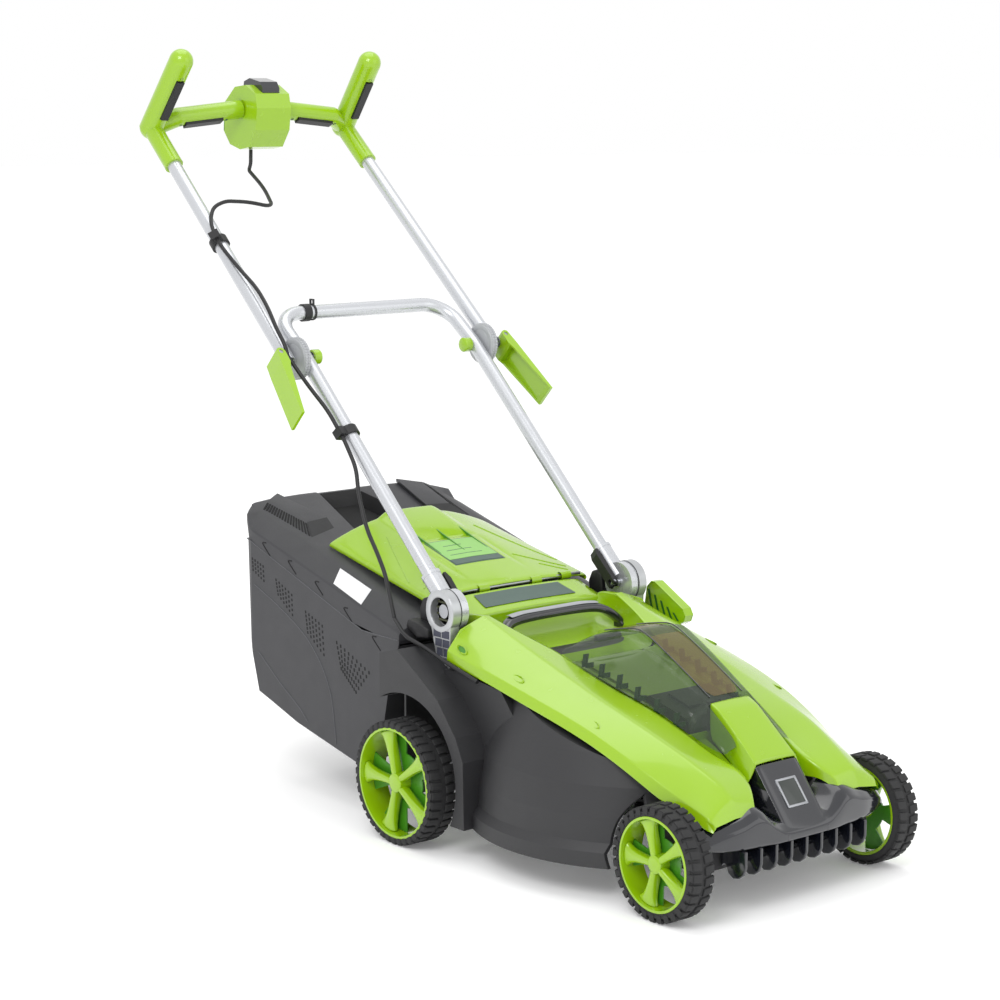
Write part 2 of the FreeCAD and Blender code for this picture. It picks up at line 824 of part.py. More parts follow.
def make_carry_handle():
    """Bridge handle: one bar that drops forwards and outwards into the recess at both ends."""
    steps = [(-114.5, -64, -48, 268, 284), (-108, -62, -44, 278, 294), (-86, -42, -20, 297, 311)]
    steps.append((-40, -42, -20, 299, 312))
    steps += [(-x, y0, y1, low, top) for x, y0, y1, low, top in reversed(steps)]
    sections = []
    for x, y0, y1, low, top in steps:
        sections.append(
            [
                (x, y0, low), (x, y0, top - 3), (x, y0 + 5, top), (x, y1 - 5, top), (x, y1, top - 3),
                (x, y1, low),
            ],
        )
    keep("carry_handle", shaped(loft(sections)))


LID = [
    (-156, [(86, 264), (80, 279), (52, 291)]),
    (-181, [(87, 261), (80, 284), (52, 304)]),
    (-254, [(84, 250), (76, 283), (50, 316)]),
    (-290, [(81, 240), (72, 275), (48, 301)]),
    (-396, [(70, 208), (61, 226), (41, 246)]),
]


def lid_form(wall, drop):
    sections = []
    for index, (y, half) in enumerate(LID):
        at = y - wall if index == 0 else y
        side = [(x - wall, z - (wall if i else 0)) for i, (x, z) in enumerate(half)]
        side.insert(0, (side[0][0], half[0][1] - drop))
        sections.append([(x, at, z) for x, z in side] + [(-x, at, z) for x, z in reversed(side)])
    return loft(sections)


def make_lid():
    lid = lid_form(0, 10).cut(lid_form(2.5, 30))
    base = prism(
        [
            (-150, 265), (-181, 261.5), (-254, 250.5), (-290, 240.5), (-400, 207.5), (-400, 100),
            (-150, 100),
        ],
        -90,
        90,
    )
    lid = lid.cut(base)
    opening = prism([(-350, 180), (-350, 234), (-398, 234), (-398, 180)], -38, 38)
    for side in SIDES.values():
        x0, x1 = sorted((side * 37.8, side * 64))
        prong = prism(
            [(-392, 206), (-392, 247), (-444, 208), (-449, 200), (-446, 192), (-430, 194)], x0, x1
        )
        hollow = prism(
            [(-380, 190), (-380, 240), (-440, 202), (-436, 180)], *sorted((side * 40.3, side * 61.5))
        )
        lid = lid.fuse(prong.cut(hollow))
    lid = lid.cut(opening)
    tab = prism([(-148, 284), (-148, 287), (-160, 292), (-160, 287)], -22, 22)
    lid = lid.fuse(tab)
    pins = Part.makeCylinder(2.55, 140, Vector(-70, LID_HINGE[0], LID_HINGE[1]), Vector(1, 0, 0))
    lid = lid.cut(pins)
    solids = sorted(lid.Solids, key=lambda s: s.Volume)
    keep("battery_lid", shaped(solids[-1]))


def make_bay():
    """Tray under the lid: a shallow rear part over the motor and a well for the pack."""
    side = [
        (-170, 262), (-170, 226), (-290, 222), (-290, 176), (-390, 172), (-390, 204), (-290, 236),
        (-254, 246), (-181, 257),
    ]
    inner = [(-172, 300), (-172, 228.5), (-292.5, 224.5), (-292.5, 178.5), (-387.5, 174.5), (-387.5, 300)]
    tray = prism(side, -71, 71).cut(prism(inner, -68.5, 68.5))
    keep("battery_bay", shaped(tray))
    pack = prism(
        [(-294, 179), (-294, 236), (-300, 240), (-370, 222), (-386, 210), (-386, 175.2)], -56, 56
    )
    grip = prism([(-310, 229), (-310, 241), (-350, 231), (-350, 218)], -30, 30)
    groove = prism([(-314, 222), (-314, 236), (-346, 228), (-346, 214)], -24, 24)
    pack = pack.fuse(grip).cut(groove)
    keep("battery_pack", shaped(pack))


# ---------------------------------------------------------------- motor and blade
def make_drive():
    y = "bulge_y"
    base = "chamber_top + deck_wall + 0.1"
    can = cut(
        post("0", y, base, "motor_height", "motor_radius"),
        post("0", y, base + " + 3", "motor_height - 6", "motor_radius - 4"),
        post("0", y, base + " - 1", "motor_height + 2", "shaft_radius + running_gap"),
    )
    keep("motor_can", can)
    rotor = post("0", y, base + " + 6", "motor_height - 12", "motor_radius - 12")
    shaft = post("0", y, "blade_z + 8", "chamber_top + motor_height - blade_z", "shaft_radius")
    bore = post("0", y, "blade_z", "30", "4.02")
    keep("motor_shaft", cut(fuse(rotor, shaft), bore))
    hub = post("0", y, "blade_z + blade_thick + 0.1", "26", "16")
    disc = post("0", y, "blade_z + 28", "3", "74")
    vanes = [block("-1.5", "bulge_y - 70", "blade_z + 31", "3", "140", "22")]
    vanes.append(block("-70", "bulge_y - 1.5", "blade_z + 31", "140", "3", "22"))
    hub_bore = post("0", y, "blade_z - 2", "80", "shaft_radius + 0.02")
    core = post("0", y, "blade_z + 30", "24", "10")
    keep("blade_carrier", cut(fuse(hub, disc, core, *vanes), hub_bore))
    half = "blade_length / 2"
    body = new_body()
    made = sketch(body, "XY", "blade_z")
    w = "blade_width / 2"
    corners = [("-(%s)" % half, "bulge_y - " + w), (half, "bulge_y - " + w)]
    corners += [(half, "bulge_y + " + w), ("-(%s)" % half, "bulge_y + " + w)]
    outline(made, corners)
    ring(made, ("0", y), "4.5")
    pad(body, made, "blade_thick")
    wings = []
    for turn in (1, -1):
        start = Vector(turn * 110, size(y) + turn * size(w), size("blade_z"))
        wing = [(0, 0), (0, 3), (-10, 12), (-12, 10)]
        face = Part.Face(polygon([tuple(start + Vector(0, turn * u, v)) for u, v in wing]))
        wings.append(face.extrude(Vector(turn * 72, 0, 0)))
    blade = fuse(body, shaped(wings[0]), shaped(wings[1]))
    keep("blade", blade)
    head = post("0", y, "blade_z - 7.1", "7", "9")
    shank = post("0", y, "blade_z - 1", "26", "4")
    keep("blade_bolt", fuse(head, shank))
    board = block("58", "-300", "chamber_top + deck_wall + 0.1", "44", "100", "5")
    cap = block("64", "-290", "chamber_top + deck_wall + 5", "20", "40", "22")
    sink = block("88", "-290", "chamber_top + deck_wall + 5", "8", "70", "26")
    keep("control_board", fuse(board, cap, sink))


# ---------------------------------------------------------------- rear flap and grass box
def make_flap():
    y = size("flap_y")
    z = size("flap_z")
    half = size("flap_half")

    def form(wall):
        front = [(half, 318), (half, 328), (61, 335), (44, 337), (36, 335)]
        rear = [(half - 1, 369), (half - 2, 377), (61, 404), (46, 413), (38, 409)]
        sections = []
        for at, points in ((60.5, front), (306, rear)):
            edge = [
                (x - wall * (i < 2), z0 - wall * (i > 0) - 30 * (wall > 0 and i == 0))
                for i, (x, z0) in enumerate(points)
            ]
            level = at + (wall if at < 100 else -wall)
            sections.append(
                [(x, level, v) for x, v in edge] + [(-x, level, v) for x, v in reversed(edge)]
            )
        return loft(sections)

    flap = form(0).cut(form(2.5))
    below = prism(
        [(40, 315), (66, 314), (112, 319), (285, 365), (320, 375), (320, 250), (40, 250)], -160, 160
    )
    flap = flap.cut(below)
    for x in (-132, -20, 20, 132):
        flap = flap.cut(Part.makeBox(6.4, 22, 40, Vector(x - 3.2, 50, 306)))
    for x in (-118, -60, 40, 98):
        knuckle = Part.makeCylinder(6, 20, Vector(x, y, z), Vector(1, 0, 0))
        web = prism([(y - 1, z), (y - 1, z + 5.5), (y + 12, z + 9), (y + 12, z + 2)], x, x + 20)
        flap = flap.fuse(
            knuckle.fuse(web).common(prism([(50, 310), (50, 345), (90, 345), (90, 310)], -140, 140))
        )
    flap = flap.cut(Part.makeCylinder(3.06, 400, Vector(-200, y, z), Vector(1, 0, 0)))
    solids = sorted(flap.Solids, key=lambda s: s.Volume)
    keep("rear_flap", shaped(solids[-1]))
    keep("flap_rod", rod("-138", "0", "0", "276", "3"), y="flap_y", z="flap_z")


TUB = [
    (66, 253), (88, 197), (98, 151), (125, 100), (165, 73), (317, 104), (384, 124), (419, 134),
    (441, 209), (450, 369.4),
]
PLAN = [
    (205, 50), (205, 436), (198, 456), (170, 484), (60, 498), (-60, 498), (-170, 484), (-198, 456),
    (-205, 436), (-205, 50),
]


def shrink(points, wall):
    """An outline moved inwards by the wall."""
    wire = polygon([(0, y, z) for y, z in points])
    inner = wire.makeOffset2D(-wall, 2, False, False)
    return [(v.Point.y, v.Point.z) for v in inner.OrderedVertexes]


def footprint(wall):
    pts = [(x - math.copysign(wall, x), y - (wall if y > 450 else 0), 0) for x, y in PLAN]
    return Part.Face(polygon(pts)).extrude(Vector(0, 0, 600))


def make_box():
    half = size("box_half")
    wall = size("box_wall")
    outer = TUB + [(150, 273.4), (62, 273.4)]
    inner = shrink(outer, wall)
    tub = prism(outer, -half, half).common(footprint(0))
    hollow = prism(inner, -half + wall, half - wall).common(footprint(wall))
    top = prism([(63, 265), (63, 320), (449, 420), (449, 362), (150, 266)], -half + wall, half - wall)
    tub = tub.cut(hollow).cut(top.common(footprint(wall)))
    mouth = Part.makeBox(224, 60, 132, Vector(-112, 50, 118))
    tub = tub.cut(mouth)
    keep("grass_box_tub", shaped(tub))
    lid_side = [
        (62, 274), (62, 303.5), (384, 389), (493, 418), (498, 416), (498, 404), (470, 394), (454, 371),
        (150, 274),
    ]
    lid = prism(lid_side, -half, half).common(footprint(0))
    lid_hollow = prism(
        [
            (66, 270), (66, 300.5), (384, 385.6), (466, 407.5), (466, 396), (449, 372), (449, 362),
            (150, 266),
        ],
        -half + 3,
        half - 3,
    )
    lid = lid.cut(lid_hollow.common(footprint(3)))
    grip = prism([(462, 380), (462, 430), (488, 430), (488, 380)], -46, 46)
    lid = lid.cut(grip)
    keep("grass_box_lid", shaped(lid))


# ---------------------------------------------------------------- handle
def tube_point(x, t):
    """A point on the lower tube's axis, t from the bracket's pivot."""
    low = Vector(x, size("bracket_y"), size("bracket_z"))
    top = Vector(x, size("disc_y"), size("disc_z"))
    return low + (top - low).normalize() * t


def side_rod(side, low, high, y, z, radius):
    """A cylinder along X between two distances from the middle plane."""
    start = low if side > 0 else "-(%s)" % high
    return rod(start, y, z, "(%s) - (%s)" % (high, low), radius)


def make_brackets():
    y = "bracket_y"
    z = "bracket_z"
    bolts = []
    for word, side in SIDES.items():
        start = "168.3" if side > 0 else "-184"
        foot = [("-30", "318"), ("-28", "244.2"), ("4", "263.9"), ("14", "300"), ("20", "318")]
        leg = plate("YZ", foot, start, "15.7")
        disc = side_rod(side, "168.3", "184", y, z, "ring_radius")
        opening = side_rod(side, "172", "186", y, z, "ring_radius - 10")
        hole = side_rod(side, "166", "174", y, z, "6.02")
        keep("handle_bracket_" + word, cut(fuse(leg, disc), opening, hole))
        shank = side_rod(side, "150", "173", y, z, "6")
        head = side_rod(side, "172.1", "177", y, z, "10")
        neck = side_rod(side, "143", "151", y, z, "3")
        pin = cross_pin(side, 144, size(y), size(z), 2.5, 14)
        bolts.append(fuse(shank, head, neck, shaped(pin)))
    keep("pivot_bolts", together(*bolts))


def across_tube():
    """Unit vectors up along the lower tube and square to it in the Y-Z plane."""
    run = (tube_point(0, 1) - tube_point(0, 0)).normalize()
    return run, Vector(0, -run.z, run.y)


def cross_pin(side, x, y, z, radius, length):
    run, out = across_tube()
    start = Vector(side * x, y, z) - out * (length / 2)
    return Part.makeCylinder(radius, length, start, out)


def swept(side, centre, run, width, points):
    """An outline in (distance along run, |x|) pushed across the tube, width wide."""
    out = across_tube()[1]
    spots = [centre + run * t + Vector(side * x - centre.x, 0, 0) - out * (width / 2) for t, x in points]
    return Part.Face(polygon([tuple(p) for p in spots])).extrude(out * width)


def make_lock_levers():
    run, out = across_tube()
    for word, side in SIDES.items():
        centre = tube_point(0, 0)
        shape = [
            (-5.2, 144), (-3.7, 140.3), (0, 139.4), (8, 140), (50, 139), (60, 143), (60, 147),
            (50, 148.3), (3, 148.3), (-3.7, 147.7),
        ]
        lever = swept(side, centre, run, 16, shape)
        slot = swept(side, centre, run, 6.8, [(-8, 136), (6, 136), (6, 152), (-8, 152)])
        pin = cross_pin(side, 144, size("bracket_y"), size("bracket_z"), 2.55, 40)
        keep("lock_lever_" + word, shaped(lever.cut(slot).cut(pin)))


def make_lower_handle():
    x = size("disc_x")
    radius = size("tube_radius")
    inner = radius - size("tube_wall")
    start = tube_point(x, 20)
    half = [tuple(start), (x, size("disc_y"), size("disc_z")), (x, size("bar_y"), size("bar_z"))]
    points = half + list(reversed(mirrored(half)))
    bend = size("bar_bend")
    tube = pipe(points, [80, bend, bend, 80], radius, inner)
    axis = Vector(1, 0, 0)
    for side in SIDES.values():
        pivot = Vector(side * 168 if side > 0 else -190, size("bracket_y"), size("bracket_z"))
        tube = tube.cut(Part.makeCylinder(31.3, 22, pivot, axis))
    through = Part.makeCylinder(
        size("clamp_bolt_radius") + 0.1, 400, Vector(-200, size("disc_y"), size("disc_z")), axis
    )
    keep("lower_handle", shaped(tube.cut(through)))
    sockets = []
    for side in SIDES.values():
        low = side * 155 if side > 0 else -168
        hub = Part.makeCylinder(30, 13, Vector(low, size("bracket_y"), size("bracket_z")), axis)
        sleeve = bar(tube_point(side * x, 8), tube_point(side * x, 62), 14)
        sleeve = sleeve.fuse(hub)
        pivot = Vector(side * 168 if side > 0 else -190, size("bracket_y"), size("bracket_z"))
        sleeve = sleeve.cut(Part.makeCylinder(31.3, 22, pivot, axis))
        sleeve = sleeve.cut(bar(tube_point(side * x, 19.9), tube_point(side * x, 80), radius + 0.03))
        bore = Part.makeCylinder(
            6.05, 60, Vector(side * 165 - 30, size("bracket_y"), size("bracket_z")), axis
        )
        sockets.append(sleeve.cut(bore))
    keep("tube_sockets", shaped(Part.makeCompound(sockets)))
    discs = []
    for side in SIDES.values():
        disc = side_rod(side, "174.4", "179.2", "disc_y", "disc_z", "disc_radius")
        hole = side_rod(side, "170", "182", "disc_y", "disc_z", "clamp_bolt_radius + 0.1")
        discs.append(cut(disc, hole))
    keep("lower_discs", together(*discs))
    ring_clip = cut(
        rod("-113", "bar_y", "bar_z", "12", "13.5"),
        rod("-114", "bar_y", "bar_z", "14", "tube_radius + 0.03"),
    )
    wire = cut(
        rod("-95", "bar_y", "bar_z", "3", "12.6"), rod("-96", "bar_y", "bar_z", "5", "tube_radius + 0.03")
    )
    loop = cut(
        block("-95", "bar_y - 5", "bar_z + 11.5", "3", "10", "9"),
        block("-97", "bar_y - 3", "bar_z + 13.5", "7", "6", "5"),
    )
    keep("bar_clip", together(ring_clip, fuse(wire, loop)))



def upper_point(side, t):
    low = Vector(side * size("upper_x"), size("disc_y"), size("disc_z"))
    top = Vector(side * size("grip_x"), size("corner_y"), size("corner_z"))
    return low + (top - low).normalize() * t


def make_upper_handle():
    radius = size("tube_radius")
    inner = radius - size("tube_wall")
    axis = Vector(1, 0, 0)
    bolt = size("clamp_bolt_radius")
    hinge = Vector(-230, size("disc_y"), size("disc_z"))
    tubes = []
    for side in SIDES.values():
        tube = bar(upper_point(side, -6.5), upper_point(side, 470), radius)
        tube = tube.cut(bar(upper_point(side, -30), upper_point(side, 480), inner))
        tubes.append(tube.cut(Part.makeCylinder(bolt + 0.02, 460, hinge, axis)))
    keep("upper_tubes", shaped(Part.makeCompound(tubes)))
    discs = []
    bolts = []
    for side in SIDES.values():
        disc = side_rod(side, "179.5", "184.3", "disc_y", "disc_z", "disc_radius")
        hole = side_rod(side, "178", "186", "disc_y", "disc_z", "clamp_bolt_radius + 0.02")
        discs.append(cut(disc, hole))
        shank = side_rod(side, "148", "216", "disc_y", "disc_z", "clamp_bolt_radius")
        cap = side_rod(side, "141", "151.5", "disc_y", "disc_z", "11")
        washer = side_rod(side, "207.2", "208.2", "disc_y", "disc_z", "9")
        barrel = cross_pin(side, 216, size("disc_y"), size("disc_z"), 3.5, 38)
        bolts.append(fuse(shank, cap, washer, shaped(barrel)))
    keep("upper_discs", together(*discs))
    keep("clamp_bolts", together(*bolts))


def make_quick_levers():
    run, out = across_tube()
    for word, side in SIDES.items():
        centre = Vector(0, size("disc_y"), size("disc_z"))
        down = run * -1
        shape = [
            (-7.5, 216), (-5.3, 221.3), (20, 226), (118, 240), (118, 235), (100, 231), (30, 214),
            (20, 209.4), (0, 208.7), (-5.3, 210.8),
        ]
        lever = swept(side, centre, down, 40, shape)
        channel = swept(side, centre, down, 34, [(24, 200), (110, 200), (110, 235.5), (24, 223)])
        slot = swept(side, centre, down, 8.8, [(-10, 204), (5.5, 204), (5.5, 221), (-10, 221)])
        barrel = cross_pin(side, 216, size("disc_y"), size("disc_z"), 3.56, 60)
        keep("quick_lever_" + word, shaped(lever.cut(channel).cut(slot).cut(barrel)))


HORN_TIP = (182, 642, 1093)


def finger(start, end, out, half, low, high):
    """A block along start-end, from low to high outwards of the line, half wide each way."""
    run = (end - start).normalize()
    wide = run.cross(out).normalize() * half
    corners = [
        start + out * low - wide,
        start + out * high - wide,
        start + out * high + wide,
        start + out * low + wide,
    ]
    return Part.Face(polygon([tuple(c) for c in corners])).extrude(end - start)


def grip_lines(side):
    """Axes of a horn and of its cross-bar with the outward direction of each lever."""
    corner = Vector(side * size("grip_x"), size("corner_y") + 3, size("corner_z") + 2)
    tip = Vector(side * HORN_TIP[0], HORN_TIP[1], HORN_TIP[2])
    horn = (tip - corner).normalize()
    front = Vector(0, -horn.z, horn.y).normalize()
    bar_in = Vector(side * 34.8, 703, 1018)
    bar_out = Vector(side * 150, 705, 1006.5)
    under = Vector(0, -0.45, -0.89).normalize()
    return corner, tip, horn, front, bar_in, bar_out, under


def make_grips():
    frame = []
    for side in SIDES.values():
        corner, tip, horn, front, bar_in, bar_out, under = grip_lines(side)
        grip = bar(upper_point(side, 420), upper_point(side, 507), 15)
        grip = grip.fuse([bar(corner - horn * 4, tip, 19), Part.makeSphere(19, tip)])
        grip = grip.fuse(
            [Part.makeSphere(19, corner), bar(bar_in, bar_out, 15), Part.makeSphere(15, bar_out)]
        )
        grip = grip.fuse(bar(bar_out, corner, 15))
        grip = grip.cut(bar(upper_point(side, 410), upper_point(side, 471), size("tube_radius") + 0.03))
        slot = finger(corner + horn * 30.5, corner + horn * 107.5, front, 6.9, 2.5, 40)
        grip = grip.cut(slot)
        run = (bar_out - bar_in).normalize()
        slot = finger(bar_in + run * 37.5, bar_in + run * 109.5, under, 6.9, 1.5, 40)
        grip = grip.cut(slot)
        frame.append(grip)
    keep("grip_frame", shaped(Part.makeCompound(frame)))
    for word, side in SIDES.items():
        corner, tip, horn, front, bar_in, bar_out, under = grip_lines(side)
        lever = finger(corner + horn * 32, corner + horn * 106, front, 6.5, 9, 22)
        keep("horn_lever_" + word, shaped(lever))
        run = (bar_out - bar_in).normalize()
        lever = finger(bar_in + run * 39, bar_in + run * 108, under, 6.5, 6.5, 18)
        keep("bar_lever_" + word, shaped(lever))


BOX_SIDE = [
    (748, 1030), (718, 1054), (687, 1057), (660, 1043), (655, 1020), (660, 985), (680, 958),
    (706, 954), (735, 962), (752, 983),
]
BUTTON = [(719, 1046), (716, 1063), (700, 1068), (670, 1062), (663, 1052), (665, 1038), (690, 1044)]


def make_controls():
    box = prism(BOX_SIDE, -33, 33).cut(prism(shrink(BOX_SIDE, 2.5), -30.5, 30.5))
    opening = prism([(662.5, 1030), (662.5, 1080), (719.5, 1080), (719.5, 1040)], -16.9, 16.9)
    keep("switch_box", shaped(box.cut(opening)))
    keep("lock_button", shaped(prism(BUTTON, -16.5, 16.5)))
    keep("switch_unit", block("-20", "0", "0", "40", "17", "49.5"), y="695", z="958.5")


# ---------------------------------------------------------------- cable
CABLE_UPPER = [
    (-12, 706, 953.5), (-14, 704, 930), (-18, 704, 920), (-30, 643, 893.5), (-60, 574, 866),
    (-105, 574.5, 875.5),
]
CABLE_UPPER += [
    (-155, 566, 878.6), (-180, 562, 870), (-197, 545, 850), (-206, 518, 828), (-206, 496.5, 809.6),
    (-200, 457, 778),
]
CABLE_UPPER += [
    (-194, 425, 754), (-198, 389.6, 726.5), (-205, 358.8, 699), (-205.4, 338, 678),
    (-204.6, 330.5, 660.5),
]
CABLE_LOWER = [
    (-204.7, 329.4, 659.2), (-195, 298, 622), (-186, 255, 583), (-181, 232.6, 552.7),
    (-182, 221.5, 543.6),
]
CABLE_LOWER += [
    (-184, 189.7, 506), (-190, 177, 473), (-198, 147.6, 424.8), (-205, 112, 394), (-210, 87, 368),
]
CABLE_LOWER += [(-210, 76.6, 339), (-212, 63.8, 308)]
CABLE_DECK = [
    (-211.8, 62.9, 306.5), (-208, 43, 284), (-204, 10, 276), (-203, -49, 259.5), (-202.8, -95, 250),
    (-202.6, -112, 246),
]


def cable_run(points, radius):
    return pipe(points, soft_radii(points), radius)


def make_cable():
    thick = size("cable_radius")
    keep("cable_upper", shaped(cable_run(CABLE_UPPER, thick)))
    keep("cable_lower", shaped(cable_run(CABLE_LOWER, thick)))
    keep("cable_deck", shaped(cable_run(CABLE_DECK, thick)))
    runs = {"upper": (CABLE_UPPER, 9), "lower": (CABLE_LOWER, 3)}
    for name, (points, index) in runs.items():
        spot = Vector(*points[index])
        if name == "upper":
            a = upper_point(-1, 0)
            b = upper_point(-1, 500)
        else:
            a = tube_point(-size("disc_x"), 0)
            b = tube_point(-size("disc_x"), 400)
        run = (b - a).normalize()
        foot = a + run * (spot - a).dot(run)
        out = (spot - foot).normalize()
        reach = (spot - foot).Length
        ring_part = bar(foot - run * 7, foot + run * 7, 14.5)
        arm = finger(foot - run * 7, foot + run * 7, out, 8, 4, reach + 6.5)
        clip = ring_part.fuse(arm)
        clip = clip.cut(bar(foot - run * 20, foot + run * 20, size("tube_radius") + 0.03))
        clip = clip.cut(cable_run(points, thick + 0.04))
        keep("cable_clip_" + name, shaped(clip))


# ---------------------------------------------------------------- build and write
make_running_gear()
make_height_lever()
make_deck()
make_hood()
make_bumper()
make_carry_handle()
make_lid()
make_bay()
make_drive()
make_flap()
make_box()
make_brackets()
make_lock_levers()
make_lower_handle()
make_upper_handle()
make_quick_levers()
make_grips()
make_controls()
make_cable()
doc.recompute()
for obj in doc.Objects:
    if "Invalid" in obj.State or "Error" in obj.State:
        raise SystemExit("%s: state %s" % (obj.Label, obj.State))
for name, obj in PARTS.items():
    if obj.Shape.isNull() or not obj.Shape.isValid():
        raise SystemExit("%s: bad shape" % name)
os.makedirs("parts", exist_ok=True)
for name, obj in PARTS.items():
    obj.Shape.exportStep(os.path.join("parts", name + ".step"))
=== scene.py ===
import json
import math

import bmesh
import bpy
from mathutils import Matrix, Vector


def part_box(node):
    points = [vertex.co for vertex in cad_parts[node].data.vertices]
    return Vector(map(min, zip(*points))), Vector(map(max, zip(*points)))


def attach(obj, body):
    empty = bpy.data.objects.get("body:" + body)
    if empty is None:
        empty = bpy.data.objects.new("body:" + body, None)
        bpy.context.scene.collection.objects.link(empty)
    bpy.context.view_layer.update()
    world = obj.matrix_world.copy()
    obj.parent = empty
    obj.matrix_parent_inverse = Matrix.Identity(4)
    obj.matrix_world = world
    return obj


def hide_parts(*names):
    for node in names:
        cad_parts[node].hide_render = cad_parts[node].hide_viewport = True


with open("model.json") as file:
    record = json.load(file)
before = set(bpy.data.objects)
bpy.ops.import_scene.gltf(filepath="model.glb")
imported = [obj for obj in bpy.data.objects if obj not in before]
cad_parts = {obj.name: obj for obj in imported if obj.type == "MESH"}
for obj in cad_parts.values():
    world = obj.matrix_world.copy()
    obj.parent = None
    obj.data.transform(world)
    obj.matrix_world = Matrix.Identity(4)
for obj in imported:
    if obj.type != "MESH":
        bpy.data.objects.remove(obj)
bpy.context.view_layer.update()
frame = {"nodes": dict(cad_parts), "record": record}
NODES = frame["nodes"]
SIDES = {"left": 1, "right": -1}
BOTH = tuple(SIDES.values())
MM = 0.001
low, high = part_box("rear_left_tyre")
AXLE = (low.y + high.y) / 2 / MM


# y and z of each pivot line, in millimetres as P takes them
BRACKET_PIVOT = (-5, 324)
DISC_PIVOT = (344, 653)
FLAP_PIVOT = (64, 330)
# y of the flap's front and rear edges, and of the end of its flat front
FLAP_FRONT = 60.5
FLAP_LENGTH = 245.5
HUMP_START = 214
BOX_HALF = 205
TEETH = 44
FIN_PITCH = 28.0
SPOKES = 5
SPOKE_TURN = 0.32
SMOOTH_ANGLE = math.radians(32)
HOOD_END = -38
RECESS_TOPS = {2: 311, -8: 314, -24: 314.5, -60: 308, -100: 297, -140: 281, -153: 276}
# camera, in millimetres and degrees
LENS = 88.5708
SENSOR = 36
CAMERA_SPOT = (-2275.9, -2667.8, 1040.4)
CAMERA_YAW = 39.59
CAMERA_DIP = 9.34


def P(x, y, z):
    """A point in metres from millimetres, with y counted from the rear axle."""
    return Vector((x, y + AXLE, z)) * MM


# ---- materials
def srgb(r, g, b):
    def lin(c):
        c = c / 255
        return c / 12.92 if c <= 0.04045 else ((c + 0.055) / 1.055) ** 2.4

    return (lin(r), lin(g), lin(b), 1.0)


def put(node, **values):
    """Sets a node's inputs; an underscore in a name stands for a space."""
    for key, value in values.items():
        node.inputs[key.replace("_", " ")].default_value = value


def link(start, output, end, into):
    start.id_data.links.new(start.outputs[output], end.inputs[into])


def noise(tree, where, scale, detail):
    node = tree.nodes.new("ShaderNodeTexNoise")
    put(node, Scale=scale, Detail=detail)
    link(where, "Object", node, "Vector")
    return node


def material(
    name, colour, rough=0.4, metal=0.0, coat=0.0, grain=0.0, grain_scale=900.0, wear=0.06, **sockets
):
    """A plastic or metal with slow colour drift, uneven gloss and a moulded or brushed grain."""
    made = bpy.data.materials.new(name)
    made.use_nodes = True
    tree = made.node_tree
    shader = tree.nodes["Principled BSDF"]
    put(shader, Metallic=metal, Coat_Weight=coat, Coat_Roughness=0.08, **sockets)
    where = tree.nodes.new("ShaderNodeTexCoord")
    slow = noise(tree, where, 9.0, 5.0)
    mix = tree.nodes.new("ShaderNodeMix")
    mix.data_type = "RGBA"
    darker = tuple(c * (1 - wear) for c in colour[:3]) + (1,)
    lighter = tuple(min(c * (1 + wear), 1) for c in colour[:3]) + (1,)
    put(mix, A=darker, B=lighter)
    link(slow, "Fac", mix, "Factor")
    link(mix, "Result", shader, "Base Color")
    gloss = tree.nodes.new("ShaderNodeMapRange")
    put(gloss, To_Min=max(rough - 0.06, 0.02), To_Max=rough + 0.08)
    patch = noise(tree, where, 38.0, 6.0)
    link(patch, "Fac", gloss, "Value")
    link(gloss, "Result", shader, "Roughness")
    if grain:
        fine = noise(tree, where, grain_scale, 3.0)
        bump = tree.nodes.new("ShaderNodeBump")
        put(bump, Strength=grain, Distance=0.0006)
        link(fine, "Fac", bump, "Height")
        link(bump, "Normal", shader, "Normal")
    return made


GREEN = material("green", srgb(140, 180, 6), rough=0.24, coat=0.6, wear=0.04, grain=0.04, grain_scale=260)
# painted shade: a deeper green for recessed and covered green surfaces, also used for the switch box's dark
# seam
GREEN_SHADE_AND_SEAM = material("green_shade_and_seam", srgb(62, 130, 24), rough=0.34, coat=0.3)
DECK = material("deck", srgb(40, 40, 42), rough=0.5, grain=0.22, grain_scale=1500)
BOX = material("box", srgb(52, 52, 55), rough=0.52, grain=0.22, grain_scale=1500)
BLACK = material("black", srgb(22, 22, 24), rough=0.5, grain=0.15)
GLOSS = material("gloss_black", srgb(19, 21, 28), rough=0.16, coat=0.8, grain=0.02)
TYRE = material("tyre", srgb(33, 33, 34), rough=0.7, grain=0.4, grain_scale=700)
TUBE = material("tube", srgb(196, 198, 202), rough=0.26, metal=0.6, coat=0.3, wear=0.03)
CAST = material("cast", srgb(184, 186, 188), rough=0.32, metal=0.7, grain=0.1, grain_scale=600)
STEEL = material("steel", srgb(170, 172, 176), rough=0.3, metal=0.95)
DISC = material("disc", srgb(172, 174, 177), rough=0.42, metal=0.2)
PACK = material("pack", srgb(34, 52, 38), rough=0.45, grain=0.15)
BOARD = material("board", srgb(30, 90, 50), rough=0.5)
LABEL = material("label", srgb(138, 188, 104), rough=0.5, wear=0.08)
LABEL_DARK = material("label_dark", srgb(72, 92, 84), rough=0.45)
STICKER = material("sticker", srgb(222, 222, 224), rough=0.5)
# painted highlight: a lighter grey than the box, for the lines along its ridges and creases
BOX_HIGHLIGHT = material("box_edge_highlight", srgb(74, 75, 78), rough=0.5, grain=0.15)
# painted shade: near-black for the insides of holes, slots, gaps, wells and pressed grooves
HOLE_SHADE = material("hole", srgb(14, 14, 15), rough=0.8, grain=0.1)
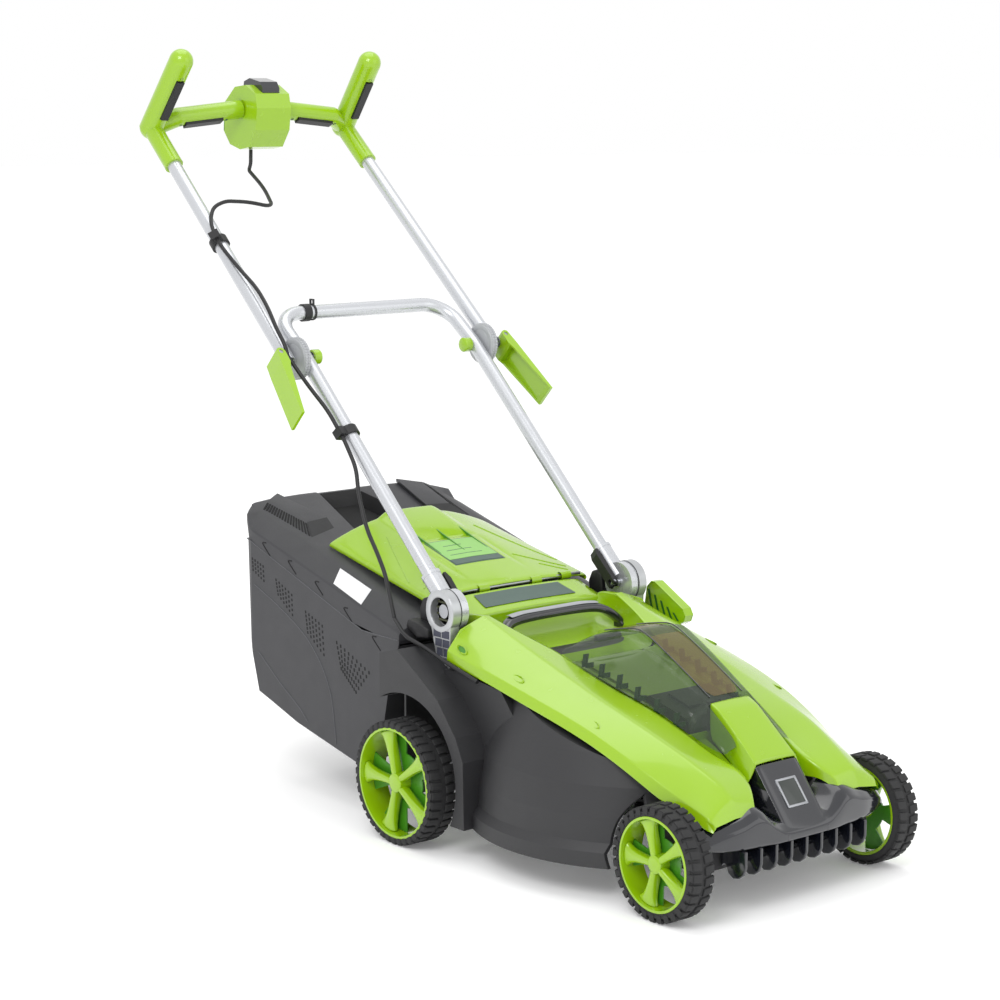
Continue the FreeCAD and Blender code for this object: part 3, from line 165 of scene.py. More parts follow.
# painted shade: dark grey for the pockets of the bracket's lattice
CELL_SHADE = material("cell", srgb(64, 66, 80), rough=0.6, grain=0.1)
OLIVE = material("olive", srgb(58, 62, 34), rough=0.5, grain=0.1)
BADGE_DARK = material("badge_dark", srgb(40, 46, 42), rough=0.3, coat=0.4)
CARRY_TOP = material("carry_top", srgb(150, 152, 158), rough=0.38, coat=0.3)
GREEN_DARK = material("green_dark", srgb(36, 92, 22), rough=0.5, grain=0.1)
LID_RIB = material("lid_rib", srgb(22, 74, 30), rough=0.4, grain=0.1)


def smoked(name, colour, clear, tint=(206, 214, 198)):
    """Tinted clear moulding: part of the light passes straight through."""
    made = material(name, colour, rough=0.07, coat=0.6, wear=0.1)
    tree = made.node_tree
    shader = tree.nodes["Principled BSDF"]
    out = tree.nodes["Material Output"]
    glass = tree.nodes.new("ShaderNodeBsdfTransparent")
    put(glass, Color=srgb(*tint))
    blend = tree.nodes.new("ShaderNodeMixShader")
    put(blend, Fac=clear)
    link(shader, "BSDF", blend, 1)
    link(glass, "BSDF", blend, 2)
    link(blend, "Shader", out, "Surface")
    return made


LID = smoked("lid", srgb(96, 104, 98), 0.74)
WINDOW = smoked("window", srgb(120, 104, 66), 0.55, (210, 190, 150))

# look, body and slot of pieces that share them
HOOD = (GREEN, "base", "green")
NOSE = (GLOSS, "base", "gloss_black")
FLAP = (GREEN, "rear_flap", "green")
CLEAR_LID = (LID, "battery_lid", "lid")
# painted shade on the grass box
BOX_HOLE_SHADE = (HOLE_SHADE, "grass_box", "box")
# painted highlight lines on the grass box
BOX_HIGHLIGHT_LINE = (BOX_HIGHLIGHT, "grass_box", "box")

BY_SLOT = {
    "green": GREEN, "tyre": TYRE, "steel": STEEL, "deck": DECK, "gloss_black": GLOSS,
    "badge": STEEL, "lid": LID, "pack": PACK, "motor": CAST, "fan": BLACK, "blade": STEEL,
    "board": BOARD, "box": BOX, "bracket": CAST, "switch": BLACK, "tube": TUBE, "clip": BLACK,
    "disc": DISC, "cable": BLACK, "button": GLOSS,
}
for part in frame["record"]["subparts"]:
    node = NODES[part["node"]]
    node.data.materials.clear()
    node.data.materials.append(BY_SLOT[part["material_slot"]])
    node.data.shade_smooth()
    soft = node.modifiers.new("edges", "EDGE_SPLIT")
    soft.split_angle = SMOOTH_ANGLE


# ---- mesh helpers
def place(obj, body, stands_for=()):
    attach(obj, body)
    if stands_for:
        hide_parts(*stands_for)
    return obj


def mesh(
    name, points, faces, look, body, slot, levels=0, bevel=0.0, solid=0.0, creases=(), stands_for=(),
    angle=35
):
    """An object from points in millimetres; bevel and solid are in millimetres too."""
    data = bpy.data.meshes.new(name)
    data.from_pydata([P(*p) for p in points], [], faces)
    work = bmesh.new()
    work.from_mesh(data)
    bmesh.ops.remove_doubles(work, verts=work.verts, dist=1e-6)
    bmesh.ops.recalc_face_normals(work, faces=work.faces)
    work.to_mesh(data)
    work.free()
    data.validate()
    if creases:
        keys = {tuple(round(c, 7) for c in v.co): v.index for v in data.vertices}
        wanted = {}
        for line, amount in creases:
            spots = [keys.get(tuple(round(c, 7) for c in Vector(P(*p)))) for p in line]
            for a, b in zip(spots, spots[1:]):
                if a is not None and b is not None:
                    wanted[frozenset((a, b))] = amount
        layer = data.attributes.new("crease_edge", "FLOAT", "EDGE")
        values = [wanted.get(frozenset(e.vertices), 0.0) for e in data.edges]
        layer.data.foreach_set("value", values)
    obj = bpy.data.objects.new(name, data)
    bpy.context.scene.collection.objects.link(obj)
    data.materials.append(look)
    if solid:
        shell = obj.modifiers.new("solid", "SOLIDIFY")
        shell.thickness = solid * MM
        shell.offset = -1
    if bevel:
        edge = obj.modifiers.new("bevel", "BEVEL")
        edge.width = bevel * MM
        edge.segments = 3
        edge.limit_method = "ANGLE"
        edge.angle_limit = math.radians(28)
    if levels:
        sub = obj.modifiers.new("sub", "SUBSURF")
        sub.levels = levels
        sub.render_levels = levels
    data.shade_smooth()
    if not levels:
        split = obj.modifiers.new("split", "EDGE_SPLIT")
        split.split_angle = math.radians(angle)
    return place(obj, body, stands_for)


def rows_to_faces(rows, closed=False, caps=False):
    """Quads between rows of equally many points; closed joins each row's ends, caps fills first and last."""
    count = len(rows[0])
    points = [p for row in rows for p in row]
    faces = []
    for r in range(len(rows) - 1):
        for c in range(count if closed else count - 1):
            d = (c + 1) % count
            faces.append((r * count + c, r * count + d, (r + 1) * count + d, (r + 1) * count + c))
    if caps:
        faces.append(tuple(range(count)))
        start = (len(rows) - 1) * count
        faces.append(tuple(range(start, start + count)))
    return points, faces


def skin(name, rows, look, body, slot, closed=False, caps=False, crease_columns=(), **more):
    points, faces = rows_to_faces(rows, closed, caps)
    creases = [([row[c] for row in rows], amount) for c, amount in crease_columns]
    creases += more.pop("creases", [])
    return mesh(name, points, faces, look, body, slot, creases=creases, **more)


def mirrored(half, middle):
    """A row of points: the half at positive x, a middle point and the half's mirror image."""
    return half + [middle] + [(-x, y, z) for x, y, z in reversed(half)]


def slab(name, outline, low, high, look, body, slot, axis="x", **more):
    """An outline pushed along an axis: pairs are (y, z) for x, (x, z) for y and (x, y) for z."""

    def at(pair, level):
        if axis == "x":
            return (level, pair[0], pair[1])
        if axis == "y":
            return (pair[0], level, pair[1])
        return (pair[0], pair[1], level)

    rows = [[at(p, low) for p in outline], [at(p, high) for p in outline]]
    return skin(name, rows, look, body, slot, closed=True, caps=True, **more)


def frame_at(direction):
    d = Vector(direction).normalized()
    side = d.cross(Vector((0, 0, 1)))
    if side.length < 0.01:
        side = d.cross(Vector((0, 1, 0)))
    side.normalize()
    return d, side, side.cross(d)


def circle(count):
    """Evenly spaced angles once round, in radians."""
    return [2 * math.pi * k / count for k in range(count)]


def smooth_path(points, steps=8):
    """Catmull-Rom curve through points."""
    spots = [Vector(p) for p in points]
    spots = [spots[0] * 2 - spots[1]] + spots + [spots[-1] * 2 - spots[-2]]
    out = []
    for i in range(1, len(spots) - 2):
        a, b, c, d = spots[i - 1 : i + 3]
        for s in range(steps):
            t = s / steps
            out.append(
                0.5 * (
                    2 * b + (c - a) * t + (2 * a - 5 * b + 4 * c - d) * t**2
                    + (3 * b - a - 3 * c + d) * t**3
                )
            )
    out.append(spots[-2])
    return out


def tube(name, points, radii, look, body, slot, around=20, steps=6, caps=True, flat=None, **more):
    """A round skin along a curve; radii is one number or one per point; flat = (width, depth) factors."""
    if isinstance(radii, (int, float)):
        radii = [radii] * len(points)
    path = smooth_path(points, steps)
    sizes = smooth_path([(r, 0, 0) for r in radii], steps)
    rows = []
    normal = None
    for i, spot in enumerate(path):
        before = path[max(i - 1, 0)]
        after = path[min(i + 1, len(path) - 1)]
        d = (after - before).normalized()
        if normal is None:
            normal = frame_at(d)[1]
        normal = (normal - d * normal.dot(d)).normalized()
        other = d.cross(normal)
        wide, deep = flat or (1, 1)
        r = sizes[i].x
        ring = []
        for a in circle(around):
            ring.append(tuple(spot + normal * (math.cos(a) * r * wide) + other * (math.sin(a) * r * deep)))
        rows.append(ring)
    return skin(name, rows, look, body, slot, closed=True, caps=caps, **more)


def edge_lines(name, loop, radius, look, body, slot, steps):
    """A thin straight rod along each run between the points of a loop."""
    for a, b in zip(loop, loop[1:]):
        middle = tuple((Vector(a) + Vector(b)) / 2)
        tube(name, [a, middle, b], radius, look, body, slot, around=8, steps=steps)


def boxes(name, corners, look, body, slot, **more):
    """Many small blocks in one object; each is eight corners, lower ring then upper ring."""
    points = []
    faces = []
    for eight in corners:
        n = len(points)
        points += [tuple(p) for p in eight]
        ring = [(n, n + 1, n + 2, n + 3), (n + 4, n + 5, n + 6, n + 7)]
        ring += [(n + k, n + (k + 1) % 4, n + 4 + (k + 1) % 4, n + 4 + k) for k in range(4)]
        faces += ring
    return mesh(name, points, faces, look, body, slot, **more)


def brick(centre, u, v, w):
    """Eight corners round a centre from three half-edge vectors."""
    c = Vector(centre)
    u, v, w = Vector(u), Vector(v), Vector(w)
    ring = [-u - v, u - v, u + v, -u + v]
    return [c + r - w for r in ring] + [c + r + w for r in ring]


# ---- wheels
def wheel(end, word):
    side = SIDES[word]
    tyre = "%s_%s_tyre" % (end, word)
    rim = "%s_%s_rim" % (end, word)
    body = "%s_%s_wheel" % (end, word)
    low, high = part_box(tyre)
    low, high = low / MM, high / MM
    cy = (low.y + high.y) / 2 - AXLE
    cz = (low.z + high.z) / 2
    radius = (high.z - low.z) / 2
    outer = high.x if side > 0 else -low.x
    inner = low.x if side > 0 else -high.x
    width = outer - inner
    rlow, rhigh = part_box(rim)
    rim_r = (rhigh.z - rlow.z) / 2 / MM

    def at(x, r, a):
        return (side * x, cy + r * math.cos(a), cz + r * math.sin(a))

    def turned(name, profile, look, slot, count=96, **more):
        rows = []
        for a in circle(count):
            rows.append([at(x, r, a) for x, r in profile])
        rows.append(rows[0])
        return skin(name, rows, look, body, slot, **more)

    core = radius - 2.6
    profile = [
        (inner + 0.5, rim_r + 0.4), (inner + 0.6, core - 8), (inner + 4, core - 1.5), (inner + 8, core),
        (outer - 8, core), (outer - 4, core - 1.0), (outer - 1.4, core - 6), (outer - 1.0, rim_r + 6),
        (outer - 1.6, rim_r + 3.5), (outer - 0.6, rim_r + 0.6), (outer - 3, rim_r + 0.2)
    ]
    turned(tyre + "_body", profile, TYRE, "tyre", stands_for=(tyre,))
    lugs = []
    count = 40 if end == "rear" else 32
    for a in circle(count):
        for row, (x0, x1, shift) in enumerate(
            [(outer - 1.2, outer - width * 0.42, 0.0), (inner + 1.2, inner + width * 0.42, 0.5)]
        ):
            half = math.pi / count * 0.8
            mid = a + shift * 2 * math.pi / count
            skew = 0.35 * half
            eight = []
            for r in (core - 1.6, radius - 0.1):
                narrow = 1.0 if r < core else 0.86
                lift = 0 if r < core else 0.9
                sign = 1 if row == 0 else -1
                for x, t in (
                    (x0 - sign * lift, -half), (x1, -half + skew), (x1, half + skew),
                    (x0 - sign * lift, half)
                ):
                    eight.append(at(x, r, mid + t * narrow))
            lugs.append(eight)
            if row == 0:
                eight = []
                for x in (outer - 2.0, outer - 0.1):
                    for r, t in (
                        (core - 8.5, -half * 0.7), (core + 1.2, -half * 0.85), (core + 1.2, half * 0.85),
                        (core - 8.5, half * 0.7)
                    ):
                        eight.append(at(x, r, mid + t))
                lugs.append(eight)
    boxes(tyre + "_lugs", lugs, TYRE, body, "tyre", bevel=0.9)

    # rim: lip, barrel, dished plate with five openings, hub
    lip = [
        (outer - 3.5, rim_r - 0.2), (outer - 0.8, rim_r - 0.1), (outer + 0.0, rim_r - 1.2),
        (outer - 0.5, rim_r - 3.6), (outer - 6, rim_r - 4.6), (inner + 2.0, rim_r - 4.4),
        (inner + 1.0, rim_r - 2.5), (inner + 1.2, rim_r - 0.2)
    ]
    turned(rim + "_barrel", lip, GREEN, "green", count=80, stands_for=(rim,), angle=50)
    spokes = []
    hub_r = 13.5 if end == "rear" else 12.0
    front = outer - 3.0
    for k in range(SPOKES):
        a = math.pi / 2 + SPOKE_TURN * side + 2 * math.pi * k / SPOKES
        stations = [
            (hub_r - 5, 5.4, front - 0.6, 17), (hub_r + 5, 5.6, front - 1.4, 17),
            (rim_r * 0.5, 6.8, front - 2.4, 16), (rim_r * 0.74, 9.4, front - 3.0, 15),
            (rim_r * 0.9, 14.5, front - 2.8, 14), (rim_r - 3.6, 20.0, front - 2.2, 13)
        ]
        rows = []
        for r, half, x, depth in stations:
            ring = []
            for t, dx in (
                (-1.0, -depth), (-1.0, -2.6), (-0.62, 0.0), (0, 0.9), (0.62, 0.0), (1.0, -2.6),
                (1.0, -depth)
            ):
                reach = math.sqrt(max(r * r - (t * half) ** 2, 1.0)) if r > rim_r * 0.8 else r
                y = reach * math.cos(a) - t * half * math.sin(a)
                z = reach * math.sin(a) + t * half * math.cos(a)
                ring.append((side * (x + dx), cy + y, cz + z))
            rows.append(ring)
        spokes.append(
            skin(rim + "_spoke%d" % k, rows, GREEN, body, "green", closed=True, caps=True, levels=2)
        )
    hub = [
        (outer - 26, 10.5), (outer - 26, hub_r + 1), (front - 1.5, hub_r), (front - 0.2, hub_r - 1.6),
        (front + 0.3, hub_r - 4), (front + 0.5, 0.01)
    ]
    turned(rim + "_hub", hub, GREEN, "green", count=48)
    back = [(outer - 20, hub_r), (outer - 21, rim_r * 0.5), (outer - 19.5, rim_r - 5.2)]
    if end == "rear":
        back = [(x - 2, r) for x, r in back]
    # recessed web between the spokes, with five openings, in deeper green as painted shade
    points = []
    faces = []
    steps = 100
    for a in circle(steps):
        for x, r in back:
            points.append(at(x, r, a))
    turn = SPOKE_TURN * side
    for k in range(steps):
        a = 2 * math.pi * (k + 0.5) / steps
        phase = ((a - math.pi / 2 - turn) / (2 * math.pi / SPOKES)) % 1.0
        window = 0.24 < phase < 0.76
        for c in range(len(back) - 1):
            if window and c == 1 and end == "front":
                continue
            if window and c == 1 and end == "rear" and 0.3 < phase < 0.7:
                continue
            n = len(back)
            faces.append(
                (k * n + c, ((k + 1) % steps) * n + c, ((k + 1) % steps) * n + c + 1, k * n + c + 1)
            )
    mesh(rim + "_web", points, faces, GREEN_SHADE_AND_SEAM, body, "green", solid=2.0)


# ---- hood
HOOD_ROWS = [
    (-38, (197, 262), (195.5, 276), (172, 303), (131, 317), (121, 316)),
    (-80, (199, 254), (197, 268), (170, 292), (131, 304), (113, 303)),
    (-126, (200, 247), (197.5, 261), (168, 280), (131, 290), (99, 288)),
    (-154, (200, 242), (197, 256), (167, 272), (131, 282), (89, 278)),
    (-191, (199, 234), (195.5, 248), (165, 263), (131, 271), (88.2, 266)),
    (-250, (196, 221), (192, 235), (160, 247), (131, 253.5), (86.4, 250)),
    (-282, (193.5, 213), (189, 227), (157, 239), (131, 244), (84.4, 242)),
    (-335, (188, 198), (183.5, 212), (153, 223), (130, 229), (79, 230)),
    (-400, (178.5, 170), (174.5, 185), (147, 202), (129, 210), (70, 205)),
    (-435, (171, 150), (167, 167), (143, 188), (126, 198), (66, 188)),
    (-470, (165, 136), (161, 152), (140, 172), (120, 183), (56, 178)),
    (-500, (161.5, 127), (157.5, 142), (137, 158), (115, 168), (63, 164)),
    (-519, (159.5, 121.5), (155, 134), (136, 147), (115, 154), (76, 149)),
    (-527, (156.5, 119), (150.5, 124.5), (134, 128), (116, 131), (80, 131)),
]


def make_hood():
    first = True
    for word, side in SIDES.items():
        rows = []
        for y, edge, crease, mid, ridge, inner in HOOD_ROWS:
            band = ((crease[0] * 0.97 + mid[0] * 0.03), crease[1] + 1.3)
            under = (edge[0] - 3, edge[1] + 0.6)
            drop = (inner[0] - 0.2, inner[1] - (34 if -490 < y < -340 else 14))
            row = [(under[0] - 0.3, under[1] + 10), under, edge, crease, band, mid, ridge, inner, drop]
            rows.append([(side * x, y, z) for x, z in row])
        lines = [(2, 0.7), (3, 0.75), (4, 0.5), (6, 0.72), (7, 0.9)]
        ends = [(rows[0], 1.0), (rows[-2], 0.35), (rows[-1], 0.9)]
        skin(
            "hood_side_" + word, rows, *HOOD, crease_columns=lines, creases=ends, levels=3,
            stands_for=("hood_cover",) if first else ()
        )
        first = False
        # end wall towards the bracket
        wall = [(196.5, 262), (195, 276), (172, 303), (131, 317), (121, 316), (121, 262)]
        slab(
            "hood_end_" + word, [(side * x, z) for x, z in wall], HOOD_END - 0.3, HOOD_END + 2.2, *HOOD,
            axis="y", bevel=1.0
        )
    # centre panel between the prongs
    steps = [
        (-397, 38, 196, 35, 244), (-408, 38, 190, 35, 239.5), (-416, 38.5, 184, 35, 235.5),
        (-440, 42, 172, 35.5, 216), (-462, 47, 162, 36.5, 198), (-484, 56, 146, 38, 179.5)
    ]
    rows = []
    for y, low_x, low_z, top_x, top_z in steps:
        half = [(low_x, y, low_z), (top_x + 0.6, y, top_z - 2), (top_x, y, top_z)]
        rows.append(mirrored(half, (0, y, top_z + 1.2)))
    skin(
        "hood_nose", rows, *HOOD, crease_columns=[(1, 0.6), (2, 0.8), (4, 0.8), (5, 0.6)],
        creases=[(rows[0], 1.0), (rows[-1], 1.0)], levels=2, solid=2.5
    )
    # rear block with the stripe
    def block_row(y, top, half):
        right = [(half + 1, y, 276), (half, y, top - 22), (half - 6, y, top - 3), (88, y, top)]
        return mirrored(right, (0, y, top + 1.5))

    rows = [
        block_row(y, z, 133)
        for y, z in ((-1, 309), (4, 311), (12, 313.5), (30, 319), (47, 325), (54, 327), (56.5, 326))
    ]
    rows.append([(x, 57, 276) for x, y, z in rows[-1]])
    rows.insert(0, [(x, -1, 290 if abs(x) < 122 else 276) for x, y, z in rows[0]])
    skin(
        "hood_rear", rows, *HOOD, crease_columns=[(2, 0.6), (3, 0.3), (5, 0.3), (6, 0.6)],
        creases=[(rows[1], 0.7), (rows[-3], 0.6), (rows[-2], 0.8)], levels=2
    )
    # side shoulders of the rear block beside the recess
    for side in BOTH:
        rows = []
        for y, top in ((-38, 316), (-22, 315), (-6, 314), (2, 312)):
            rows.append(
                [
                    (side * 121, y, 268), (side * 121, y, top - 1), (side * 123, y, top + 0.6),
                    (side * 131, y, top + 0.5), (side * 134, y, top - 10), (side * 134.6, y, 276)
                ]
            )
        skin(
            "hood_shoulder_%d" % side, rows, *HOOD, crease_columns=[(1, 0.6), (3, 0.5)],
            creases=[(rows[0], 1), (rows[-1], 1)], levels=2, solid=2
        )
    # recess under the carry handle
    steps = [
        (2, 120.6, 309, 293), (-8, 120.6, 300, 276), (-24, 120.6, 290, 268), (-60, 116.5, 280, 261),
        (-100, 107.6, 274, 257.5), (-140, 91, 268, 255.5), (-153, 87.5, 264, 259)
    ]
    rows = []
    for y, half, wall, floor in steps:
        top = RECESS_TOPS[y]
        right = [(half, y, top), (half - 0.6, y, wall), (half - 10, y, floor + 2), (half - 30, y, floor)]
        rows.append(mirrored(right, (0, y, floor)))
    skin(
        "hood_recess", rows, *HOOD, crease_columns=[(0, 1), (8, 1)], creases=[(rows[0], 1), (rows[-1], 1)],
        levels=2
    )
    # stripe
    rows = []
    for y, z, half in ((12.6, 314.6, 86), (20, 316.7, 85), (34, 321.3, 82.5), (47, 326.0, 80)):
        rows.append([(half * t, y, z + 1.15 * (1 - abs(t))) for t in (-1, -0.5, 0, 0.5, 1)])
    skin("stripe", rows, LABEL_DARK, "base", "green", solid=-0.3)
    # screw recesses with raised rims; the well floors are deeper green as painted shade
    for side in BOTH:
        for y, x, z, nx, nz in (
            (-62, 190, 281, 0.86, 0.5), (-175, 182, 259, 0.55, 0.83), (-316, 171, 221.5, 0.5, 0.86)
        ):
            out = Vector((side * nx, -0.12, nz)).normalized()
            run = Vector((0, -0.93, -0.36))
            run = (run - out * run.dot(out)).normalized()
            cross = out.cross(run)
            ring = []
            count = 28
            for a in circle(count):
                long = math.cos(a) * 10.5
                wide = math.sin(a) * (4.6 if math.cos(a) > 0 else 4.0)
                ring.append(Vector((side * x, y, z)) + run * long + cross * wide)
            points = []
            for spread, lift in ((1.16, 0.1), (1.05, 1.1), (0.94, 0.9), (0.86, -1.2)):
                centre = Vector((side * x, y, z))
                points.append([tuple(centre + (p - centre) * spread + out * lift) for p in ring])
            if side < 0 or y < -100:
                skin("screw_rim", points, *HOOD, closed=True)
            mesh("screw_well", points[-1], [tuple(range(count))], GREEN_SHADE_AND_SEAM, "base", "green")


# ---- front
def make_bumper():
    half = (
        (166, -524, 94, 116.5, 118), (160, -528, 92, 119, 121), (125, -539, 88, 127, 129),
        (108, -541, 88, 130, 134)
    )
    half += (
        (96, -542, 87, 135, 142), (84, -543, 87, 138, 147), (72, -544, 87, 134, 145),
        (62, -545, 86, 124, 133)
    )
    half += ((48, -546, 86, 116, 120), (38, -546.5, 86, 112, 116))
    bow = [(-x, y, foot, top, back) for x, y, foot, top, back in half] + list(reversed(half))
    rows = []
    for x, y, foot, top, back in bow:
        rows.append(
            [
                (x, -507, foot + 1), (x, y + 6, foot), (x, y + 0.5, foot + 5),
                (x, y, (foot + top) / 2 - 4), (x, y + 1.5, top - 11), (x, y + 11, top - 1),
                (x, -506, back), (x, -492, back + 3)
            ]
        )
    lines = [(2, 0.5), (4, 0.6), (5, 0.7)]
    skin(
        "bumper_bow", rows, *NOSE, crease_columns=lines, creases=[(rows[0], 0.9), (rows[-1], 0.9)],
        caps=True, levels=2, stands_for=("front_bumper",)
    )
    run = Vector((0, -61.9, -78)).normalized()
    out = Vector((0, -78, 61.9)).normalized()
    top = Vector((0, -484.6, 177))
    rows = []
    for t, half, lift in (
        (-1, 36.5, -5), (0, 37.2, 0), (4, 37.8, 0.4), (50, 38, 0.6), (94, 38, 0.3), (99, 37.5, -1),
        (103, 36.5, -7)
    ):
        spot = top + run * t + out * lift
        ring = []
        for x, d in (
            (-half - 0.4, -20), (-half - 0.2, -3.4), (-half + 1.6, -0.8), (-half + 5, 0), (0, 0.5),
            (half - 5, 0), (half - 1.6, -0.8), (half + 0.2, -3.4), (half + 0.4, -20)
        ):
            ring.append(tuple(spot + Vector((x, 0, 0)) + out * d))
        rows.append(ring)
    skin(
        "bumper_block", rows, *NOSE, crease_columns=[(1, 0.6), (3, 0.4), (5, 0.4), (7, 0.6)],
        creases=[(rows[1], 0.5), (rows[-2], 0.5)], levels=2
    )
    # side faces of the block
    for side in BOTH:
        cheek = [(-464, 163), (-484.6, 175.6), (-546.2, 98.4), (-546.4, 90), (-464, 104)]
        slab("block_side", cheek, side * 35.5, side * 38.3, *NOSE, bevel=1.0)
    # rounded comb fins under the bow
    for step in range(-4, 5):
        x = step * FIN_PITCH
        fin = [
            (-544, 90), (-544, 68), (-540, 58), (-532, 52), (-522, 50), (-513, 55), (-508, 68), (-508, 90)
        ]
        slab("comb_fin", fin, x - 2.4, x + 2.4, *NOSE, bevel=1.6)
    web = [(-512, 92), (-512, 70), (-509, 66), (-506.8, 70), (-506.8, 92)]
    slab("comb_back", web, -122, 122, *NOSE)
    # framed plate with a blank field
    centre = top + run * 45 + out * 1.0
    across = Vector((17, 0, 0))
    frame_bar = []
    for u, v, a, b in ((0, 19, 18.4, 1.6), (0, -19, 18.4, 1.6), (17, 0, 1.6, 19), (-17, 0, 1.6, 19)):
        spot = centre + Vector((u, 0, 0)) + run * v
        frame_bar.append(brick(spot, (a, 0, 0), run * b, out * 1.4))
    boxes("badge_frame", frame_bar, STEEL, "base", "badge", bevel=0.5)
    boxes(
        "badge_field", [brick(centre, across * 0.93, run * 18, out * 0.95)], BADGE_DARK, "base", "badge",
        bevel=0.3, stands_for=("badge_plate",)
    )


def make_carry_handle():
    stations = []
    half = (
        (117, -57, 268, 7, 8), (115.5, -56.5, 276, 8, 8), (108, -52.5, 286, 9, 8),
        (96, -43.5, 296, 10.5, 7.4), (82, -36, 301.5, 11.5, 7.2), (58, -32.5, 303.5, 12, 7.2),
        (0, -31.5, 304.5, 12, 7.2)
    )
    for x, y, z, deep, tall in half:
        stations.append((-x, y, z, deep, tall))
    for x, y, z, deep, tall in half[-2::-1]:
        stations.append((x, y, z, deep, tall))
    rows = []
    for x, y, z, deep, tall in stations:
        ring = []
        for a, b in (
            (-1, -0.7), (-1, 0.3), (-0.72, 0.86), (0, 1.05), (0.72, 0.86), (1, 0.3), (1, -0.7), (0.6, -1),
            (-0.6, -1)
        ):
            ring.append((x, y + a * deep, z + b * tall))
        rows.append(ring)
    skin(
        "carry_bar", rows, *NOSE, closed=True, caps=True,
        crease_columns=[(1, 0.3), (5, 0.3), (6, 0.4), (0, 0.4)], levels=2, stands_for=("carry_handle",)
    )
    # soft grey grip band on top of the bar
    rows = []
    for x in range(-84, 85, 12):
        drop = max(abs(x) - 58, 0) * 0.085
        back = max(abs(x) - 58, 0) * 0.14
        rows.append(
            [
                (x, -32 - back + a, 312.2 - drop + b)
                for a, b in ((-8.4, -1.6), (-4, 0.1), (0, 0.5), (4, 0.1), (8.4, -1.6))
            ]
        )
    skin("carry_pad", rows, CARRY_TOP, "base", "gloss_black", solid=1.0, levels=1)
    for side in BOTH:
        foot = [(-66, 262), (-66, 277), (-58, 284), (-46, 281), (-46, 262)]
        slab("carry_foot", foot, side * 108.5, side * 116.2, *NOSE, bevel=1.2)


# ---- battery lid
LID_ROWS = [
    (-152, (86, 277), (82, 280), (70, 284), 285),
    (-158, (86.4, 275), (80.5, 285.5), (52, 291), 293),
    (-181, (87, 268), (80, 286), (50, 304), 307),
    (-218, (87, 258), (79, 287), (50, 312), 315),
    (-254, (85, 249), (77, 284), (50, 316), 319),
    (-290, (83, 241), (73, 276), (48, 301), 304),
    (-340, (77, 229), (68, 253), (45, 275), 278),
    (-390, (69.5, 207.5), (62.5, 228), (40.5, 248), 250),
    (-396, (69, 204), (61.5, 222), (40, 238), 240),
]


